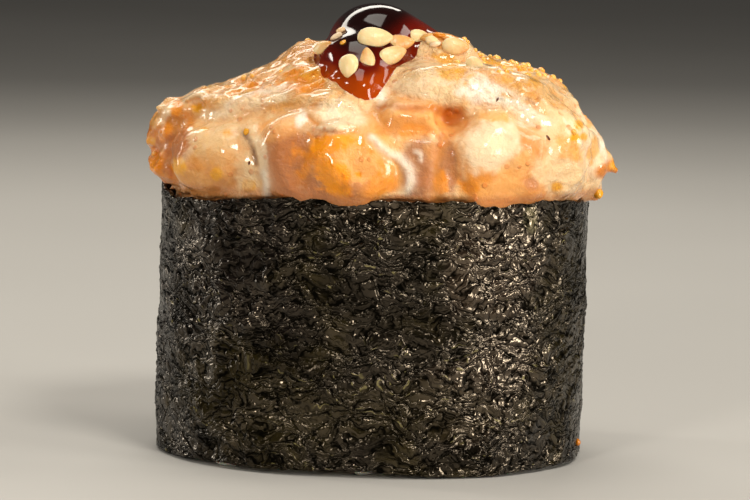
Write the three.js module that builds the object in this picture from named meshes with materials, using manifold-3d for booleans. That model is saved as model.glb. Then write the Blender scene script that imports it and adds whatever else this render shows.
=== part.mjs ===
// Baked gunkan sushi: an oval block of rice in a band of nori, heaped with seafood
// chunks under a baked creamy sauce, and topped with eel sauce and sesame seeds.
// Millimetres, +Z up, origin in the middle of the base, the oval's long axis along X
// and its front towards -Y.
import * as THREE from 'three';
import { mergeVertices } from 'three/addons/utils/BufferGeometryUtils.js';
import { ImprovedNoise } from 'three/addons/math/ImprovedNoise.js';
import Module from 'manifold-3d';

const wasm = await Module();
wasm.setup();

// ---------------------------------------------------------------- driving dimensions

// Half sizes of the oval outside the nori, and the power of its superellipse.
const OVAL = { length: 22.2, depth: 18.6, power: 2.2 };
const SHEET = 0.45; // thickness of the damp nori sheet
const CLEARANCE = 0.3; // air between neighbouring pieces
const BAND_HEIGHT = 27.6;
const BAND_COLUMNS = 76;
const BAND_ROWS = 5;

// The strip laps over itself at the back, from a soft rise to a cut end.
const LAP = { start: 62, rise: 9, end: 104 };

const RICE = { base: 0.9, top: 19, edge: 1.1 };
const GRAIN = { length: 5.4, width: 2.7, thickness: 2.4, pitch: [5.2, 3.6] };

// The sauce's outline: share of the oval's radius, and height.
const SAUCE_FLOOR = 20.2;
const SAUCE_PLUG = 0.93;
const SAUCE_OVERHANG = 0.965;
const SAUCE_OUTLINE = [
  [0.97, 28.9],
  [0.975, 31],
  [0.955, 34],
  [0.905, 36.6],
  [0.81, 38.5],
  [0.64, 40.3],
  [0.42, 41.8],
  [0.15, 43],
  [0, 43.2],
];
const HEAP_COLUMNS = 40;
const HEAP_ROWS = 10;
const SAUCE_MIDDLE = 30; // height of the point that relief pushes away from
// The crown sags on the left and rises at the right end: place along X, and lift.
const CREST = { from: 33, to: 38 };
const CREST_LIFT = [
  [-24, -0.9],
  [-18, -1],
  [-14, -1.7],
  [-10.5, -0.9],
  [-8.5, 0.1],
  [9, 0],
  [13, 0.2],
  [17.5, 0.9],
  [24, 0.9],
];
const RIDGE = { narrowing: 0.2, from: 33, to: 40 }; // the crown is a ridge along X

// Where the sauce swells out of the heap: a shelf over the front chunks, a pale patch,
// a film on the left and the corner on the right.
const SWELLS = [
  { at: [8.6, -9.8, 38.2], size: [8.4, 5.4, 3], turn: 6 },
  { at: [-4.2, -11.8, 37], size: [4.6, 4, 2.2], turn: 0 },
  { at: [-13, -8.6, 36.6], size: [6, 3.6, 1.7], turn: -24 },
  { at: [17.2, -9.6, 32.4], size: [4.6, 4.2, 5.4], turn: 40 },
];

// Chunks of seafood: centre, half sizes along the rim, across it and up, and turn. A
// chunk comes before the ones that it covers. A spur is a lower lobe, or the crisp tip on
// the right.
const FRONT_CHUNKS = [
  {
    at: [-19.5, -3.6, 32],
    size: [4.2, 4.1, 4.2],
    turn: -72,
    spur: { at: [-19.4, -4.4, 29.6], size: [3.6, 3.9, 2], turn: -72 },
  },
  { at: [-15.2, -10.7, 30.8], size: [5.9, 4.5, 4.1], turn: -38 },
  { at: [-4.3, -14.8, 31.5], size: [8.1, 4.9, 5.1], turn: -4 },
  { at: [12, -12.9, 31.6], size: [6.3, 4.9, 5.1], turn: 30 },
  {
    at: [18.2, -4.4, 31.1],
    size: [5.3, 4.7, 5.8],
    turn: 68,
    spur: { at: [22.2, -4.2, 30.4], size: [2.5, 2, 1.6], turn: 0 },
  },
  { at: [4.9, -14.2, 30.6], size: [4.4, 4.2, 4.4], turn: 8 },
  { at: [4, -13, 35], size: [4.8, 3.9, 2.8], turn: 10 },
];
const BACK_CHUNKS = { from: 24, to: 164, count: 5, share: 0.87, height: 31.4, size: [5.6, 4.5, 4.6] };
const SMALL_LOBE = 4; // half length up to which a lobe has fewer faces

// Eel sauce: a dome on the crown and the tongue that it sends down the front slope.
const EEL_LOBES = [
  { at: [-0.1, -1.8, 42.2], size: [5.2, 5.6, 4.4] },
  { at: [3.1, -0.8, 41.7], size: [4.2, 3.8, 2.9] },
  { at: [-1.7, -6, 41.2], size: [4.5, 4.6, 3] },
  { at: [-1.8, -10.3, 39.3], size: [2.9, 3.9, 2] },
];

// Sesame seeds as seen from the front: place across and up, angle of the long axis
// above level, and length. Each leans from the surface it lies on towards the front.
const SEED = { length: 3.3, width: 1.9, thickness: 1.1, sink: 0.25, lean: 0.8 };
const SAUCE_SEEDS = [
  { x: -0.4, z: 43.9, angle: 3, scale: 1.1 },
  { x: 2.1, z: 43.4, angle: 12, scale: 0.95 },
  { x: 1.3, z: 41.9, angle: 22, scale: 1 },
  { x: -1.1, z: 41.7, angle: 96, scale: 0.72 },
  { x: -2.9, z: 41.1, angle: -84, scale: 0.82 },
];
const CROWN_SEEDS = [
  { x: 7.9, z: 41.9, angle: -4, scale: 0.85 },
  { x: 10.4, z: 40.9, angle: -38, scale: 0.6 },
];

const ROE = { radius: 0.42, count: 20, apart: 1.8 };

// ---------------------------------------------------------------- shape helpers

const rad = THREE.MathUtils.degToRad;
const perlin = new ImprovedNoise();

/** Smooth noise of a point, -1 to 1, at a wavelength in millimetres. */
function noise(p, wavelength, seed = 0) {
  return perlin.noise(p.x / wavelength + seed, p.y / wavelength, p.z / wavelength);
}

/** A repeatable random source. */
function randomSource(seed) {
  let state = seed;
  return () => {
    state = (Math.imul(state, 1664525) + 1013904223) >>> 0;
    return state / 4294967296;
  };
}

/** Distance from the axis to the outside of the oval, towards an angle. */
function ovalRadius(angle) {
  const c = Math.abs(Math.cos(angle)) / OVAL.length;
  const s = Math.abs(Math.sin(angle)) / OVAL.depth;
  return (c ** OVAL.power + s ** OVAL.power) ** (-1 / OVAL.power);
}

/** The value at x on a line through rising [x, value] pairs. */
function valueAt(pairs, x) {
  const end = pairs.findIndex(([place]) => place > x);
  if (end < 1) return pairs.at(end)[1];
  const [[x0, v0], [x1, v1]] = pairs.slice(end - 1, end + 1);
  return v0 + ((v1 - v0) * (x - x0)) / (x1 - x0);
}

/** Moves every vertex of a geometry by a function of its place. */
function reshape(geometry, move) {
  const position = geometry.getAttribute('position');
  const p = new THREE.Vector3();
  for (let i = 0; i < position.count; i++) {
    p.fromBufferAttribute(position, i);
    move(p);
    position.setXYZ(i, p.x, p.y, p.z);
  }
  return geometry;
}

/** A solid of revolution about Z from [radius, height] pairs, bottom to top. */
function lathe(outline, columns) {
  const points = outline.map(([r, z]) => new THREE.Vector2(r, z));
  return new THREE.LatheGeometry(points, columns).rotateX(Math.PI / 2);
}

/** A ball stretched to half sizes, with few or many faces. */
function ellipsoid([a, b, c], detail) {
  return new THREE.IcosahedronGeometry(1, detail).scale(a, b, c);
}

/** A closed geometry as a manifold-3d solid, its vertices welded. */
function solidOf(geometry) {
  const bare = geometry.clone();
  bare.deleteAttribute('normal');
  bare.deleteAttribute('uv');
  const welded = mergeVertices(bare, 1e-4);
  const index = [];
  for (let i = 0; i < welded.index.count; i += 3) {
    const [a, b, c] = [0, 1, 2].map((k) => welded.index.getX(i + k));
    if (a !== b && b !== c && c !== a) index.push(a, b, c);
  }
  return new wasm.Manifold(
    new wasm.Mesh({
      numProp: 3,
      vertProperties: new Float32Array(welded.getAttribute('position').array),
      triVerts: new Uint32Array(index),
    }),
  );
}

/** The largest body of a solid, without the scraps that a cut leaves. */
function largestBody(solid) {
  const bodies = solid.decompose();
  return bodies.reduce((best, body) => (body.volume() > best.volume() ? body : best));
}

/** A manifold-3d solid as a three.js geometry. */
function geometryOf(solid) {
  const { numProp, numVert, vertProperties, triVerts } = solid.getMesh();
  const position = new Float32Array(numVert * 3);
  for (let i = 0; i < numVert; i++) {
    position.set(vertProperties.subarray(i * numProp, i * numProp + 3), i * 3);
  }
  const geometry = new THREE.BufferGeometry();
  geometry.setAttribute('position', new THREE.BufferAttribute(position, 3));
  geometry.setIndex(new THREE.BufferAttribute(new Uint32Array(triVerts), 1));
  geometry.computeVertexNormals();
  return geometry;
}

/** Joins a list of solids. */
function union(solids) {
  return solids.reduce((whole, solid) => whole.add(solid));
}

/** Cuts a list of solids out of another. */
function cutAway(solid, cutters) {
  return cutters.reduce((rest, cutter) => rest.subtract(cutter), solid);
}

// ---------------------------------------------------------------- nori band

/** Height of the band's upper edge above its mean, a slow wave. */
function rimWave(angle) {
  return 0.5 * Math.sin(2 * angle + 4.3) + 0.2 * Math.sin(5 * angle - 1);
}

/** How far the sheet's face is lifted by the end that laps over it, 0 to 1. */
function lapLift(degrees) {
  if (degrees < LAP.start || degrees > LAP.end) return 0;
  return THREE.MathUtils.smoothstep(degrees, LAP.start, LAP.start + LAP.rise);
}

/** The band, or with swell the space that its neighbours leave free. */
function bandSolid(swell = 0, rows = BAND_ROWS) {
  const step = 360 / BAND_COLUMNS;
  const lapColumn = Math.floor(LAP.end / step);
  const outline = [[-SHEET - swell, 0]];
  for (let row = 0; row <= rows; row++) outline.push([swell, row / rows]);
  outline.push([-SHEET - swell, 1], outline[0]);
  const axisDistance = OVAL.length;
  const ring = lathe(outline.map(([r, z]) => [r + axisDistance, z]), BAND_COLUMNS);
  reshape(ring, (p) => {
    const offset = Math.hypot(p.x, p.y) - axisDistance;
    const column = Math.round(THREE.MathUtils.radToDeg(Math.atan2(p.y, p.x)) / step);
    // The two columns beside the cut end close up on it, so that the step is sharp.
    let degrees = column * step;
    if (column === lapColumn) degrees = LAP.end - 0.2;
    if (column === lapColumn + 1) degrees = LAP.end + 0.2;
    const angle = rad(degrees);
    const low = 0.45 + 0.2 * Math.sin(3 * angle + 1) + 0.1 * Math.sin(7 * angle) - swell;
    const high = BAND_HEIGHT + rimWave(angle) + swell;
    const z = low + (high - low) * p.z;
    const ripple = 0.22 * perlin.noise(3 * Math.cos(angle), 3 * Math.sin(angle), z / 7);
    const lap = offset > -SHEET / 2 ? SHEET * lapLift(degrees) : 0;
    const r = ovalRadius(angle) + offset + ripple + lap;
    p.set(r * Math.cos(angle), r * Math.sin(angle), z);
  });
  return solidOf(ring);
}

// ---------------------------------------------------------------- rice

/** Centres of the grains that show underneath: staggered rows, jittered. */
function grainPlaces(random) {
  const [along, across] = GRAIN.pitch;
  const places = [];
  const rows = Math.floor(OVAL.depth / across);
  for (let j = -rows; j <= rows; j++) {
    const shift = (Math.abs(j) % 2) / 2;
    const columns = Math.ceil(OVAL.length / along);
    for (let i = -columns; i <= columns; i++) {
      const atCentre = i === 0 && j === 0;
      const jitter = atCentre ? 0 : 0.7;
      const x = (i + shift) * along + jitter * (random() - 0.5);
      const y = j * across + jitter * (random() - 0.5);
      const inset = ovalRadius(Math.atan2(y, x)) - Math.hypot(x, y);
      if (inset > SHEET + CLEARANCE + GRAIN.width / 2 + 0.6) places.push([x, y]);
    }
  }
  return places;
}

/** The pressed rice: a block with grains on its underside, flattened where it stands. */
function riceSolid(random) {
  const wall = SHEET + CLEARANCE + 0.25;
  const { base, top, edge } = RICE;
  const outline = [
    [0, base],
    [1, base, edge],
    [1, base + edge, 0],
    [1, top - edge, 0],
    [1, top, edge],
    [0, top + 0.6],
  ];
  const insets = outline.map(([, , inset = 0]) => inset);
  const block = lathe(outline.map(([r], i) => [r, i]), 40);
  reshape(block, (p) => {
    const angle = Math.atan2(p.y, p.x);
    const row = Math.round(p.z);
    const radius = Math.hypot(p.x, p.y) * (ovalRadius(angle) - wall - insets[row]);
    p.set(radius * Math.cos(angle), radius * Math.sin(angle), outline[row][1]);
  });
  const grains = grainPlaces(random).map(([x, y]) => {
    const atCentre = x === 0 && y === 0;
    const along = Math.atan2(y, x) + Math.PI / 2;
    const inner = Math.hypot(x, y) < 0.68 * ovalRadius(Math.atan2(y, x));
    const yaw = inner ? (atCentre ? 0.3 : random() * Math.PI) : along;
    const half = [GRAIN.length / 2, GRAIN.width / 2, GRAIN.thickness / 2];
    const grain = new THREE.SphereGeometry(1, 6, 3).rotateZ(Math.PI / 2).scale(...half);
    const lift = atCentre ? 0.8 : 0.85 + 0.15 * random();
    return solidOf(grain.rotateZ(yaw).translate(x, y, lift));
  });
  const below = new THREE.BoxGeometry(60, 60, 10).translate(0, 0, -5);
  return largestBody(union([solidOf(block), ...grains]).subtract(solidOf(below)));
}

// ---------------------------------------------------------------- sauce and chunks

/** Lays a point given as share of the oval, angle and height on the uneven sauce. */
function drapedPoint(share, angle, height, grow = 0) {
  const r = share * ovalRadius(angle);
  const p = new THREE.Vector3(r * Math.cos(angle), r * Math.sin(angle), height);
  const { smoothstep } = THREE.MathUtils;
  p.z += smoothstep(height, CREST.from, CREST.to) * valueAt(CREST_LIFT, p.x);
  p.y *= 1 - RIDGE.narrowing * smoothstep(height, RIDGE.from, RIDGE.to);
  if (height >= SAUCE_OUTLINE[0][1]) {
    const away = new THREE.Vector3(p.x, p.y, p.z - SAUCE_MIDDLE).normalize();
    const relief = 1.5 * noise(p, 5.2) + 0.5 * noise(p, 2.3, 7) + grow;
    p.addScaledVector(away, relief);
  }
  return p;
}

const sauceCurve = new THREE.SplineCurve(
  SAUCE_OUTLINE.map(([share, z]) => new THREE.Vector2(share, z)),
);

/** The heap of baked sauce: a plug inside the band, what rises over it, and its swells. */
function heapSolid(grow = 0) {
  const rim = BAND_HEIGHT + CLEARANCE + 0.1;
  const plug = [[0, SAUCE_FLOOR], [SAUCE_PLUG, SAUCE_FLOOR], [SAUCE_PLUG, rim]];
  const outline = [...plug, [SAUCE_OVERHANG, rim]];
  for (let i = 0; i <= HEAP_ROWS; i++) {
    const { x, y } = sauceCurve.getPoint(i / HEAP_ROWS);
    outline.push([Math.max(x, 0), y]);
  }
  const heap = lathe(outline, HEAP_COLUMNS);
  reshape(heap, (p) => {
    const angle = Math.atan2(p.y, p.x);
    const wave = p.z > SAUCE_FLOOR + 1 && p.z <= rim ? rimWave(angle) : 0;
    p.copy(drapedPoint(Math.hypot(p.x, p.y), angle, p.z + wave, grow));
  });
  const swells = SWELLS.map(({ at, size, turn }) => {
    const swell = ellipsoid(size.map((half) => half + grow), 2).rotateZ(rad(turn));
    return solidOf(swell.translate(...at));
  });
  return union([solidOf(heap), ...swells]);
}

/** One chunk of seafood, a rounded piece with uneven faces. */
function chunkSolid({ at, size, turn, spur }, index, swell = 0) {
  const grown = size.map((half) => half + swell);
  const chunk = ellipsoid([1, 1, 1], size[0] > SMALL_LOBE ? 2 : 1);
  reshape(chunk, (p) => p.multiplyScalar(1 + 0.14 * noise(p, 0.9, 3.7 * index)));
  const lobe = solidOf(chunk.scale(...grown).rotateZ(rad(turn)).translate(...at));
  return spur ? lobe.add(chunkSolid(spur, index + 0.5, swell)) : lobe;
}

/** The chunks round the back, evenly spaced with uneven sizes. */
function backChunks(random) {
  const { from, to, count, share, height, size } = BACK_CHUNKS;
  return Array.from({ length: count }, (_, i) => {
    const angle = rad(from + ((to - from) * i) / (count - 1));
    const r = share * ovalRadius(angle);
    const scale = 0.9 + 0.25 * random();
    return {
      at: [r * Math.cos(angle), r * Math.sin(angle), height + 1.2 * (random() - 0.5)],
      size: size.map((half) => half * scale),
      turn: THREE.MathUtils.radToDeg(angle) + 90,
    };
  });
}

/** Fish roe on the sauce, clear of the chunks and of the eel sauce. */
function roeSolids(obstacles, random) {
  const beads = [];
  const seats = [];
  for (let tries = 0; seats.length < ROE.count && tries < 4000; tries++) {
    const angle = random() * 2 * Math.PI;
    const { x: share, y: height } = sauceCurve.getPoint(0.12 + 0.72 * random());
    const seat = drapedPoint(share, angle, height);
    const near = (other) => other.distanceTo(seat) < ROE.apart;
    const blocked = ({ at, size }) => {
      const reach = Math.max(...size) + ROE.radius + CLEARANCE + 0.4;
      return seat.distanceTo(new THREE.Vector3(...at)) < reach;
    };
    if (seats.some(near) || obstacles.some(blocked)) continue;
    seats.push(seat);
    const bead = ellipsoid([ROE.radius, ROE.radius, ROE.radius], 0);
    beads.push(solidOf(bead.rotateZ(angle).translate(seat.x, seat.y, seat.z)));
  }
  return beads;
}

/** The dome and tongue of eel sauce before the heap is cut out of them. */
function eelLobes() {
  const lobe = ({ at, size }, i) => ellipsoid(size, i === 0 ? 3 : 2).translate(...at);
  return union(EEL_LOBES.map((spec, i) => solidOf(lobe(spec, i))));
}

/** A sesame seed, or with swell its space, laid flat where a ray from the front lands. */
function seedSolid({ x, z, angle, scale }, target, swell = 0) {
  const surface = new THREE.Mesh(geometryOf(target));
  const front = new THREE.Raycaster(new THREE.Vector3(x, -60, z), new THREE.Vector3(0, 1, 0));
  const hit = front.intersectObject(surface)[0];
  const normal = hit.face.normal.clone();
  normal.addScaledVector(new THREE.Vector3(0, -1, 0), SEED.lean).normalize();
  const along = new THREE.Vector3(Math.cos(rad(angle)), 0, Math.sin(rad(angle)));
  along.addScaledVector(normal, -along.dot(normal)).normalize();
  const across = new THREE.Vector3().crossVectors(normal, along);
  const seed = new THREE.SphereGeometry(1, 6, 4).rotateZ(Math.PI / 2);
  reshape(seed, (p) => {
    const taper = 1 - 0.3 * p.x;
    p.set(p.x, p.y * taper, p.z * taper);
  });
  const half = [SEED.length / 2, SEED.width / 2, SEED.thickness / 2];
  seed.scale(...half.map((h) => h * scale + swell));
  seed.applyMatrix4(new THREE.Matrix4().makeBasis(along, across, normal));
  const lift = (SEED.thickness / 2) * scale - SEED.sink;
  const seat = hit.point.addScaledVector(normal, lift);
  return solidOf(seed.translate(seat.x, seat.y, seat.z));
}

// ---------------------------------------------------------------- assembly

const finish = {
  nori: { color: 0x14140f, roughness: 0.38 },
  rice: { color: 0xeee7d8, roughness: 0.5 },
  seafood: { color: 0xe2955c, roughness: 0.35 },
  sauce: { color: 0xefc88f, roughness: 0.4 },
  eel: { color: 0x3c0d04, roughness: 0.06 },
};

/** A named mesh of a solid in one of the finishes. */
function piece(name, solid, look) {
  const material = new THREE.MeshStandardMaterial({ ...finish[look], metalness: 0 });
  const mesh = new THREE.Mesh(geometryOf(solid), material);
  mesh.name = name;
  return mesh;
}

/** Chunks of seafood, each trimmed by the band and by the chunks before it. */
function fittedChunks(specs, bandSpace) {
  const spaces = specs.map((spec, i) => chunkSolid(spec, i, CLEARANCE));
  const solids = specs.map((spec, i) => {
    const trimmed = cutAway(chunkSolid(spec, i), [bandSpace, ...spaces.slice(0, i)]);
    return largestBody(trimmed);
  });
  return { solids, spaces };
}

function build() {
  const random = randomSource(7);
  const group = new THREE.Group();
  const bandSpace = bandSolid(CLEARANCE + 0.05, 2);
  group.add(piece('nori_band', bandSolid(), 'nori'));
  group.add(piece('rice_block', riceSolid(random), 'rice'));

  const specs = [...FRONT_CHUNKS, ...backChunks(random)];
  const { solids: chunks, spaces } = fittedChunks(specs, bandSpace);
  chunks.forEach((chunk, i) => {
    group.add(piece(`seafood_chunk_${String(i + 1).padStart(2, '0')}`, chunk, 'seafood'));
  });

  const heap = heapSolid();
  const roe = roeSolids([...specs, ...EEL_LOBES], random);
  const crownSeeds = CROWN_SEEDS.map((seed) => seedSolid(seed, heap));
  const sauce = union([heap, ...roe, ...crownSeeds]);
  const bakedSauce = largestBody(cutAway(sauce, spaces));
  group.add(piece('baked_sauce', bakedSauce, 'sauce'));

  const lobes = eelLobes();
  const seeds = SAUCE_SEEDS.map((seed) => seedSolid(seed, lobes));
  const heapSpace = heapSolid(CLEARANCE * 1.3);
  const seedSpaces = CROWN_SEEDS.map((seed) => seedSolid(seed, heap, CLEARANCE));
  const pool = cutAway(union([lobes, ...seeds]), [heapSpace, ...spaces, ...seedSpaces]);
  group.add(piece('eel_sauce', largestBody(pool), 'eel'));
  return group;
}

export default build();
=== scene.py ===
"""Baked gunkan sushi: the look of every piece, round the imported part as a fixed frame.

Lengths inside the classes are in millimetres, and meshes are written in metres.
"""

import logging
import math
from dataclasses import dataclass, field
from enum import Enum
from itertools import product

import bpy
import numpy as np
from mathutils import Matrix, Vector
from mathutils.bvhtree import BVHTree


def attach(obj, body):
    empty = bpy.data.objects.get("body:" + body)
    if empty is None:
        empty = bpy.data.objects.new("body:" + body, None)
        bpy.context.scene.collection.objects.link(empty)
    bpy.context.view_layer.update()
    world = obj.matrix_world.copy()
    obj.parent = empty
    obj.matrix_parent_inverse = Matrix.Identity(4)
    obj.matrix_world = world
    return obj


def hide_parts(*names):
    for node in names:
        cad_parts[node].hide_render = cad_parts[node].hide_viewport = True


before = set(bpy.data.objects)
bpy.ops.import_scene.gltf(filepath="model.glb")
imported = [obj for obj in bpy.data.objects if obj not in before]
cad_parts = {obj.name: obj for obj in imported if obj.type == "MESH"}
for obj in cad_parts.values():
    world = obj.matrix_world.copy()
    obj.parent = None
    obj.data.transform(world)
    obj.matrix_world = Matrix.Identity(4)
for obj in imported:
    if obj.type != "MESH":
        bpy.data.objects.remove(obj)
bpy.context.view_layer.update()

LOG = logging.getLogger("gunkan")
MM = 0.001
Point = tuple[float, float, float]
Colour = tuple[float, float, float, float]


# ---------------------------------------------------------------- colours


def srgb(red: int, green: int, blue: int) -> Colour:
    """A linear colour from 0 to 255 display values."""
    channels = [c / 255 for c in (red, green, blue)]
    linear = [c / 12.92 if c <= 0.04045 else ((c + 0.055) / 1.055) ** 2.4 for c in channels]
    return (*linear, 1.0)


class Tint(Enum):
    """The colours that baking gives the sauce and the seafood in it. Some are also painted as shade:
    in cavities, creases, the hollow under the ledge, a recess and along the lower rim.
    """

    CREAM = srgb(240, 202, 152)
    PALE = srgb(248, 220, 182)
    WHITE = srgb(252, 238, 218)
    HONEY = srgb(234, 172, 92)
    PEACH = srgb(240, 172, 98)
    FLESH = srgb(212, 138, 66)
    ROSY = srgb(188, 116, 64)
    MAUVE = srgb(172, 110, 70)
    ORANGE = srgb(240, 146, 30)
    VIVID = srgb(255, 156, 20)
    GOLD = srgb(240, 168, 40)
    TOAST = srgb(212, 124, 14)
    AMBER = srgb(168, 74, 0)
    # Dark brown: painted shade in a crease, and also the real colour of pepper flakes.
    CREASE_SHADE_AND_PEPPER = srgb(96, 42, 10)


class Weed(Enum):
    """The colours of the nori's sheet. The sheen colour is painted reflection: plates made lighter
    where the lamps would be reflected.
    """

    DARK = srgb(11, 8, 4)
    PLUM = srgb(17, 12, 11)
    OLIVE = srgb(36, 30, 10)
    PAINTED_SHEEN = srgb(37, 27, 18)
    SMEAR = srgb(128, 120, 86)


# ---------------------------------------------------------------- number helpers


def smoothstep(low: float, high: float, value: np.ndarray) -> np.ndarray:
    """Eases from 0 at low to 1 at high, also where high is the smaller."""
    t = np.clip((value - low) / (high - low), 0, 1)
    return t * t * (3 - 2 * t)


def blend(weight: np.ndarray, first: np.ndarray, second: np.ndarray | Enum) -> np.ndarray:
    """Mixes rows of colours towards others, or towards one tint, by a weight for each row."""
    goal = np.asarray(second.value if isinstance(second, Enum) else second)
    return first + weight[:, None] * (goal - first)


def coat(tint: Enum, count: int) -> np.ndarray:
    """Rows of one tint."""
    return np.tile(np.array(tint.value), (count, 1))


def smooth_min(first: np.ndarray, second: np.ndarray, reach: float) -> np.ndarray:
    """The smaller of two distances, rounded where they meet within reach."""
    h = np.clip(0.5 + 0.5 * (second - first) / reach, 0, 1)
    return second + h * (first - second) - reach * h * (1 - h)


@dataclass(frozen=True)
class Crumple:
    """Repeatable gradient noise in space, about -1 to 1."""

    seed: int

    def __call__(self, points: np.ndarray, wavelength: float | Point) -> np.ndarray:
        """Samples the noise.

        Args:
            points: rows of places in millimetres.
            wavelength: one length, or one for each axis.

        Returns:
            One value for each row.
        """
        rng = np.random.default_rng(self.seed)
        order = np.tile(rng.permutation(256), 3)
        slopes = rng.normal(size=(256, 3))
        slopes /= np.linalg.norm(slopes, axis=1, keepdims=True)
        place = points / np.asarray(wavelength) + 0.37 * self.seed
        cell = np.floor(place).astype(np.int64)
        part = place - cell
        fade = part**3 * (part * (part * 6 - 15) + 10)
        total = np.zeros(len(points))
        for corner in product((0, 1), repeat=3):
            i, j, k = ((cell + corner) & 255).T
            slope = slopes[order[order[order[i] + j] + k]]
            weight = np.prod(np.where(corner, fade, 1 - fade), axis=1)
            total += weight * np.einsum("ij,ij->i", slope, part - corner)
        return 1.7 * total


@dataclass(frozen=True)
class Ripple:
    """One layer of unevenness: its strength, and the seed and wavelength of its noise."""

    strength: float
    seed: int
    wavelength: float | Point

    def __call__(self, points: np.ndarray) -> np.ndarray:
        """Its values at rows of places in millimetres."""
        return self.strength * Crumple(self.seed)(points, self.wavelength)


# ---------------------------------------------------------------- surfaces from fields


@dataclass
class Voxels:
    """A box of cells in which a solid is given by its signed distance, less than 0 inside."""

    low: Point
    high: Point
    cell: float
    values: np.ndarray = field(init=False)

    def __post_init__(self) -> None:
        """Sets up an empty field."""
        span = np.subtract(self.high, self.low)
        self.shape = tuple(np.ceil(span / self.cell).astype(int) + 1)
        self.values = np.full(self.shape, 9.0)

    def points(self) -> np.ndarray:
        """Every corner of the cells, one to a row."""
        axes = [self.low[a] + self.cell * np.arange(self.shape[a]) for a in range(3)]
        return np.stack(np.meshgrid(*axes, indexing="ij"), axis=-1).reshape(-1, 3)

    def sample(self, points: np.ndarray) -> np.ndarray:
        """The field between the corners, at any places inside the box."""
        place = (points - np.asarray(self.low)) / self.cell
        place = np.clip(place, 0, np.asarray(self.shape) - 1.001)
        cell = place.astype(int)
        part = place - cell
        total = np.zeros(len(points))
        for corner in product((0, 1), repeat=3):
            weight = np.prod(np.where(corner, part, 1 - part), axis=1)
            total += weight * self.values[tuple((cell + corner).T)]
        return total

    def surface(self) -> tuple[np.ndarray, np.ndarray]:
        """The skin where the field is 0, as one point in each cell that it crosses.

        Returns:
            Points in millimetres, and four-sided faces that look outwards.
        """
        inside = self.values < 0
        nx, ny, nz = (n - 1 for n in self.shape)
        count = np.zeros((nx, ny, nz), int)
        for i, j, k in product((0, 1), repeat=3):
            count += inside[i : i + nx, j : j + ny, k : k + nz]
        crossed = (count > 0) & (count < 8)
        number = np.full((nx, ny, nz), -1)
        cells = np.argwhere(crossed)
        number[crossed] = np.arange(len(cells))
        total = np.zeros((len(cells), 3))
        hits = np.zeros(len(cells))
        for start, axis in product(product((0, 1), repeat=3), range(3)):
            if start[axis]:
                continue
            step = np.eye(3, dtype=int)[axis]
            a = self.values[tuple((cells + start).T)]
            b = self.values[tuple((cells + start + step).T)]
            cut = (a < 0) != (b < 0)
            share = np.where(cut, a / np.where(cut, a - b, 1), 0)
            total += np.where(cut[:, None], np.asarray(start) + share[:, None] * step, 0)
            hits += cut
        points = np.asarray(self.low) + self.cell * (cells + total / hits[:, None])
        faces = []
        for axis in range(3):
            u, v = np.eye(3, dtype=int)[(axis + 1) % 3], np.eye(3, dtype=int)[(axis + 2) % 3]
            here = np.moveaxis(inside, axis, 0)[:-1]
            there = np.moveaxis(inside, axis, 0)[1:]
            edges = np.argwhere(np.moveaxis(here != there, 0, axis))
            edges = edges[((edges @ u) > 0) & ((edges @ v) > 0)]
            edges = edges[(edges < np.asarray(self.shape) - 1).all(axis=1)]
            ring = [number[tuple((edges - a).T)] for a in (u + v, v, 0 * u, u)]
            quads = np.stack(ring, axis=1)
            leaving = inside[tuple(edges.T)]
            quads[~leaving] = quads[~leaving][:, ::-1]
            faces.append(quads)
        return points, np.concatenate(faces)


def relaxed(points: np.ndarray, faces: np.ndarray, share: float) -> np.ndarray:
    """Moves each point some way towards the middle of its faces, to even out steps."""
    middle = points[faces].mean(axis=1)
    total = np.zeros_like(points)
    count = np.zeros(len(points))
    for corner in range(faces.shape[1]):
        np.add.at(total, faces[:, corner], middle)
        np.add.at(count, faces[:, corner], 1)
    return points + share * (total / np.maximum(count, 1)[:, None] - points)


def lobe_distance(points: np.ndarray, at: Point, size: Point, turn: float = 0,
                  power: float = 2.0) -> np.ndarray:
    """About how far points are outside an ellipsoid turned by degrees about Z.

    Args:
        points: rows of places.
        at: its middle.
        size: its half sizes.
        turn: degrees about Z.
        power: 2 for an ellipsoid, more for a boxier lobe.
    """
    c, s = math.cos(math.radians(turn)), math.sin(math.radians(turn))
    x, y, z = (points - np.asarray(at)).T
    local = np.abs(np.stack([c * x + s * y, c * y - s * x, z], axis=1) / np.asarray(size))
    reach = np.maximum((local**power).sum(axis=1) ** (1 / power), 1e-6)
    slope = np.linalg.norm(local ** (power - 1) / np.asarray(size), axis=1)
    return (reach - 1) * reach ** (power - 1) / np.maximum(slope, 1e-6)


def along_segment(points: np.ndarray, start: Point, end: Point) -> tuple[np.ndarray, np.ndarray]:
    """The nearest share of the way from start to end for each point, and the distance to it."""
    way = np.subtract(end, start)
    share = np.clip((points - start) @ way / (way @ way), 0, 1)
    return share, np.linalg.norm(points - start - share[:, None] * way, axis=1)


def strand_distance(points: np.ndarray, route: np.ndarray) -> np.ndarray:
    """How far points are from a line through the rows of route."""
    nearest = np.full(len(points), np.inf)
    for start, end in zip(route[:-1], route[1:]):
        nearest = np.minimum(nearest, along_segment(points, start, end)[1])
    return nearest


# ---------------------------------------------------------------- meshes


def placed(name: str, data: bpy.types.ID) -> bpy.types.Object:
    """An object at the origin that shows a mesh, lamp or camera."""
    thing = bpy.data.objects.new(name, data)
    bpy.context.scene.collection.objects.link(thing)
    return thing


def make_object(name: str, points: np.ndarray, faces: np.ndarray | list) -> bpy.types.Object:
    """A smooth mesh object at the origin.

    Args:
        name: the piece's name.
        points: places in millimetres.
        faces: point numbers of each face, counter-clockwise from outside.
    """
    mesh = bpy.data.meshes.new(name)
    mesh.from_pydata((np.asarray(points) * MM).tolist(), [], [list(map(int, f)) for f in faces])
    mesh.polygons.foreach_set("use_smooth", [True] * len(mesh.polygons))
    mesh.update()
    return placed(name, mesh)


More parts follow.
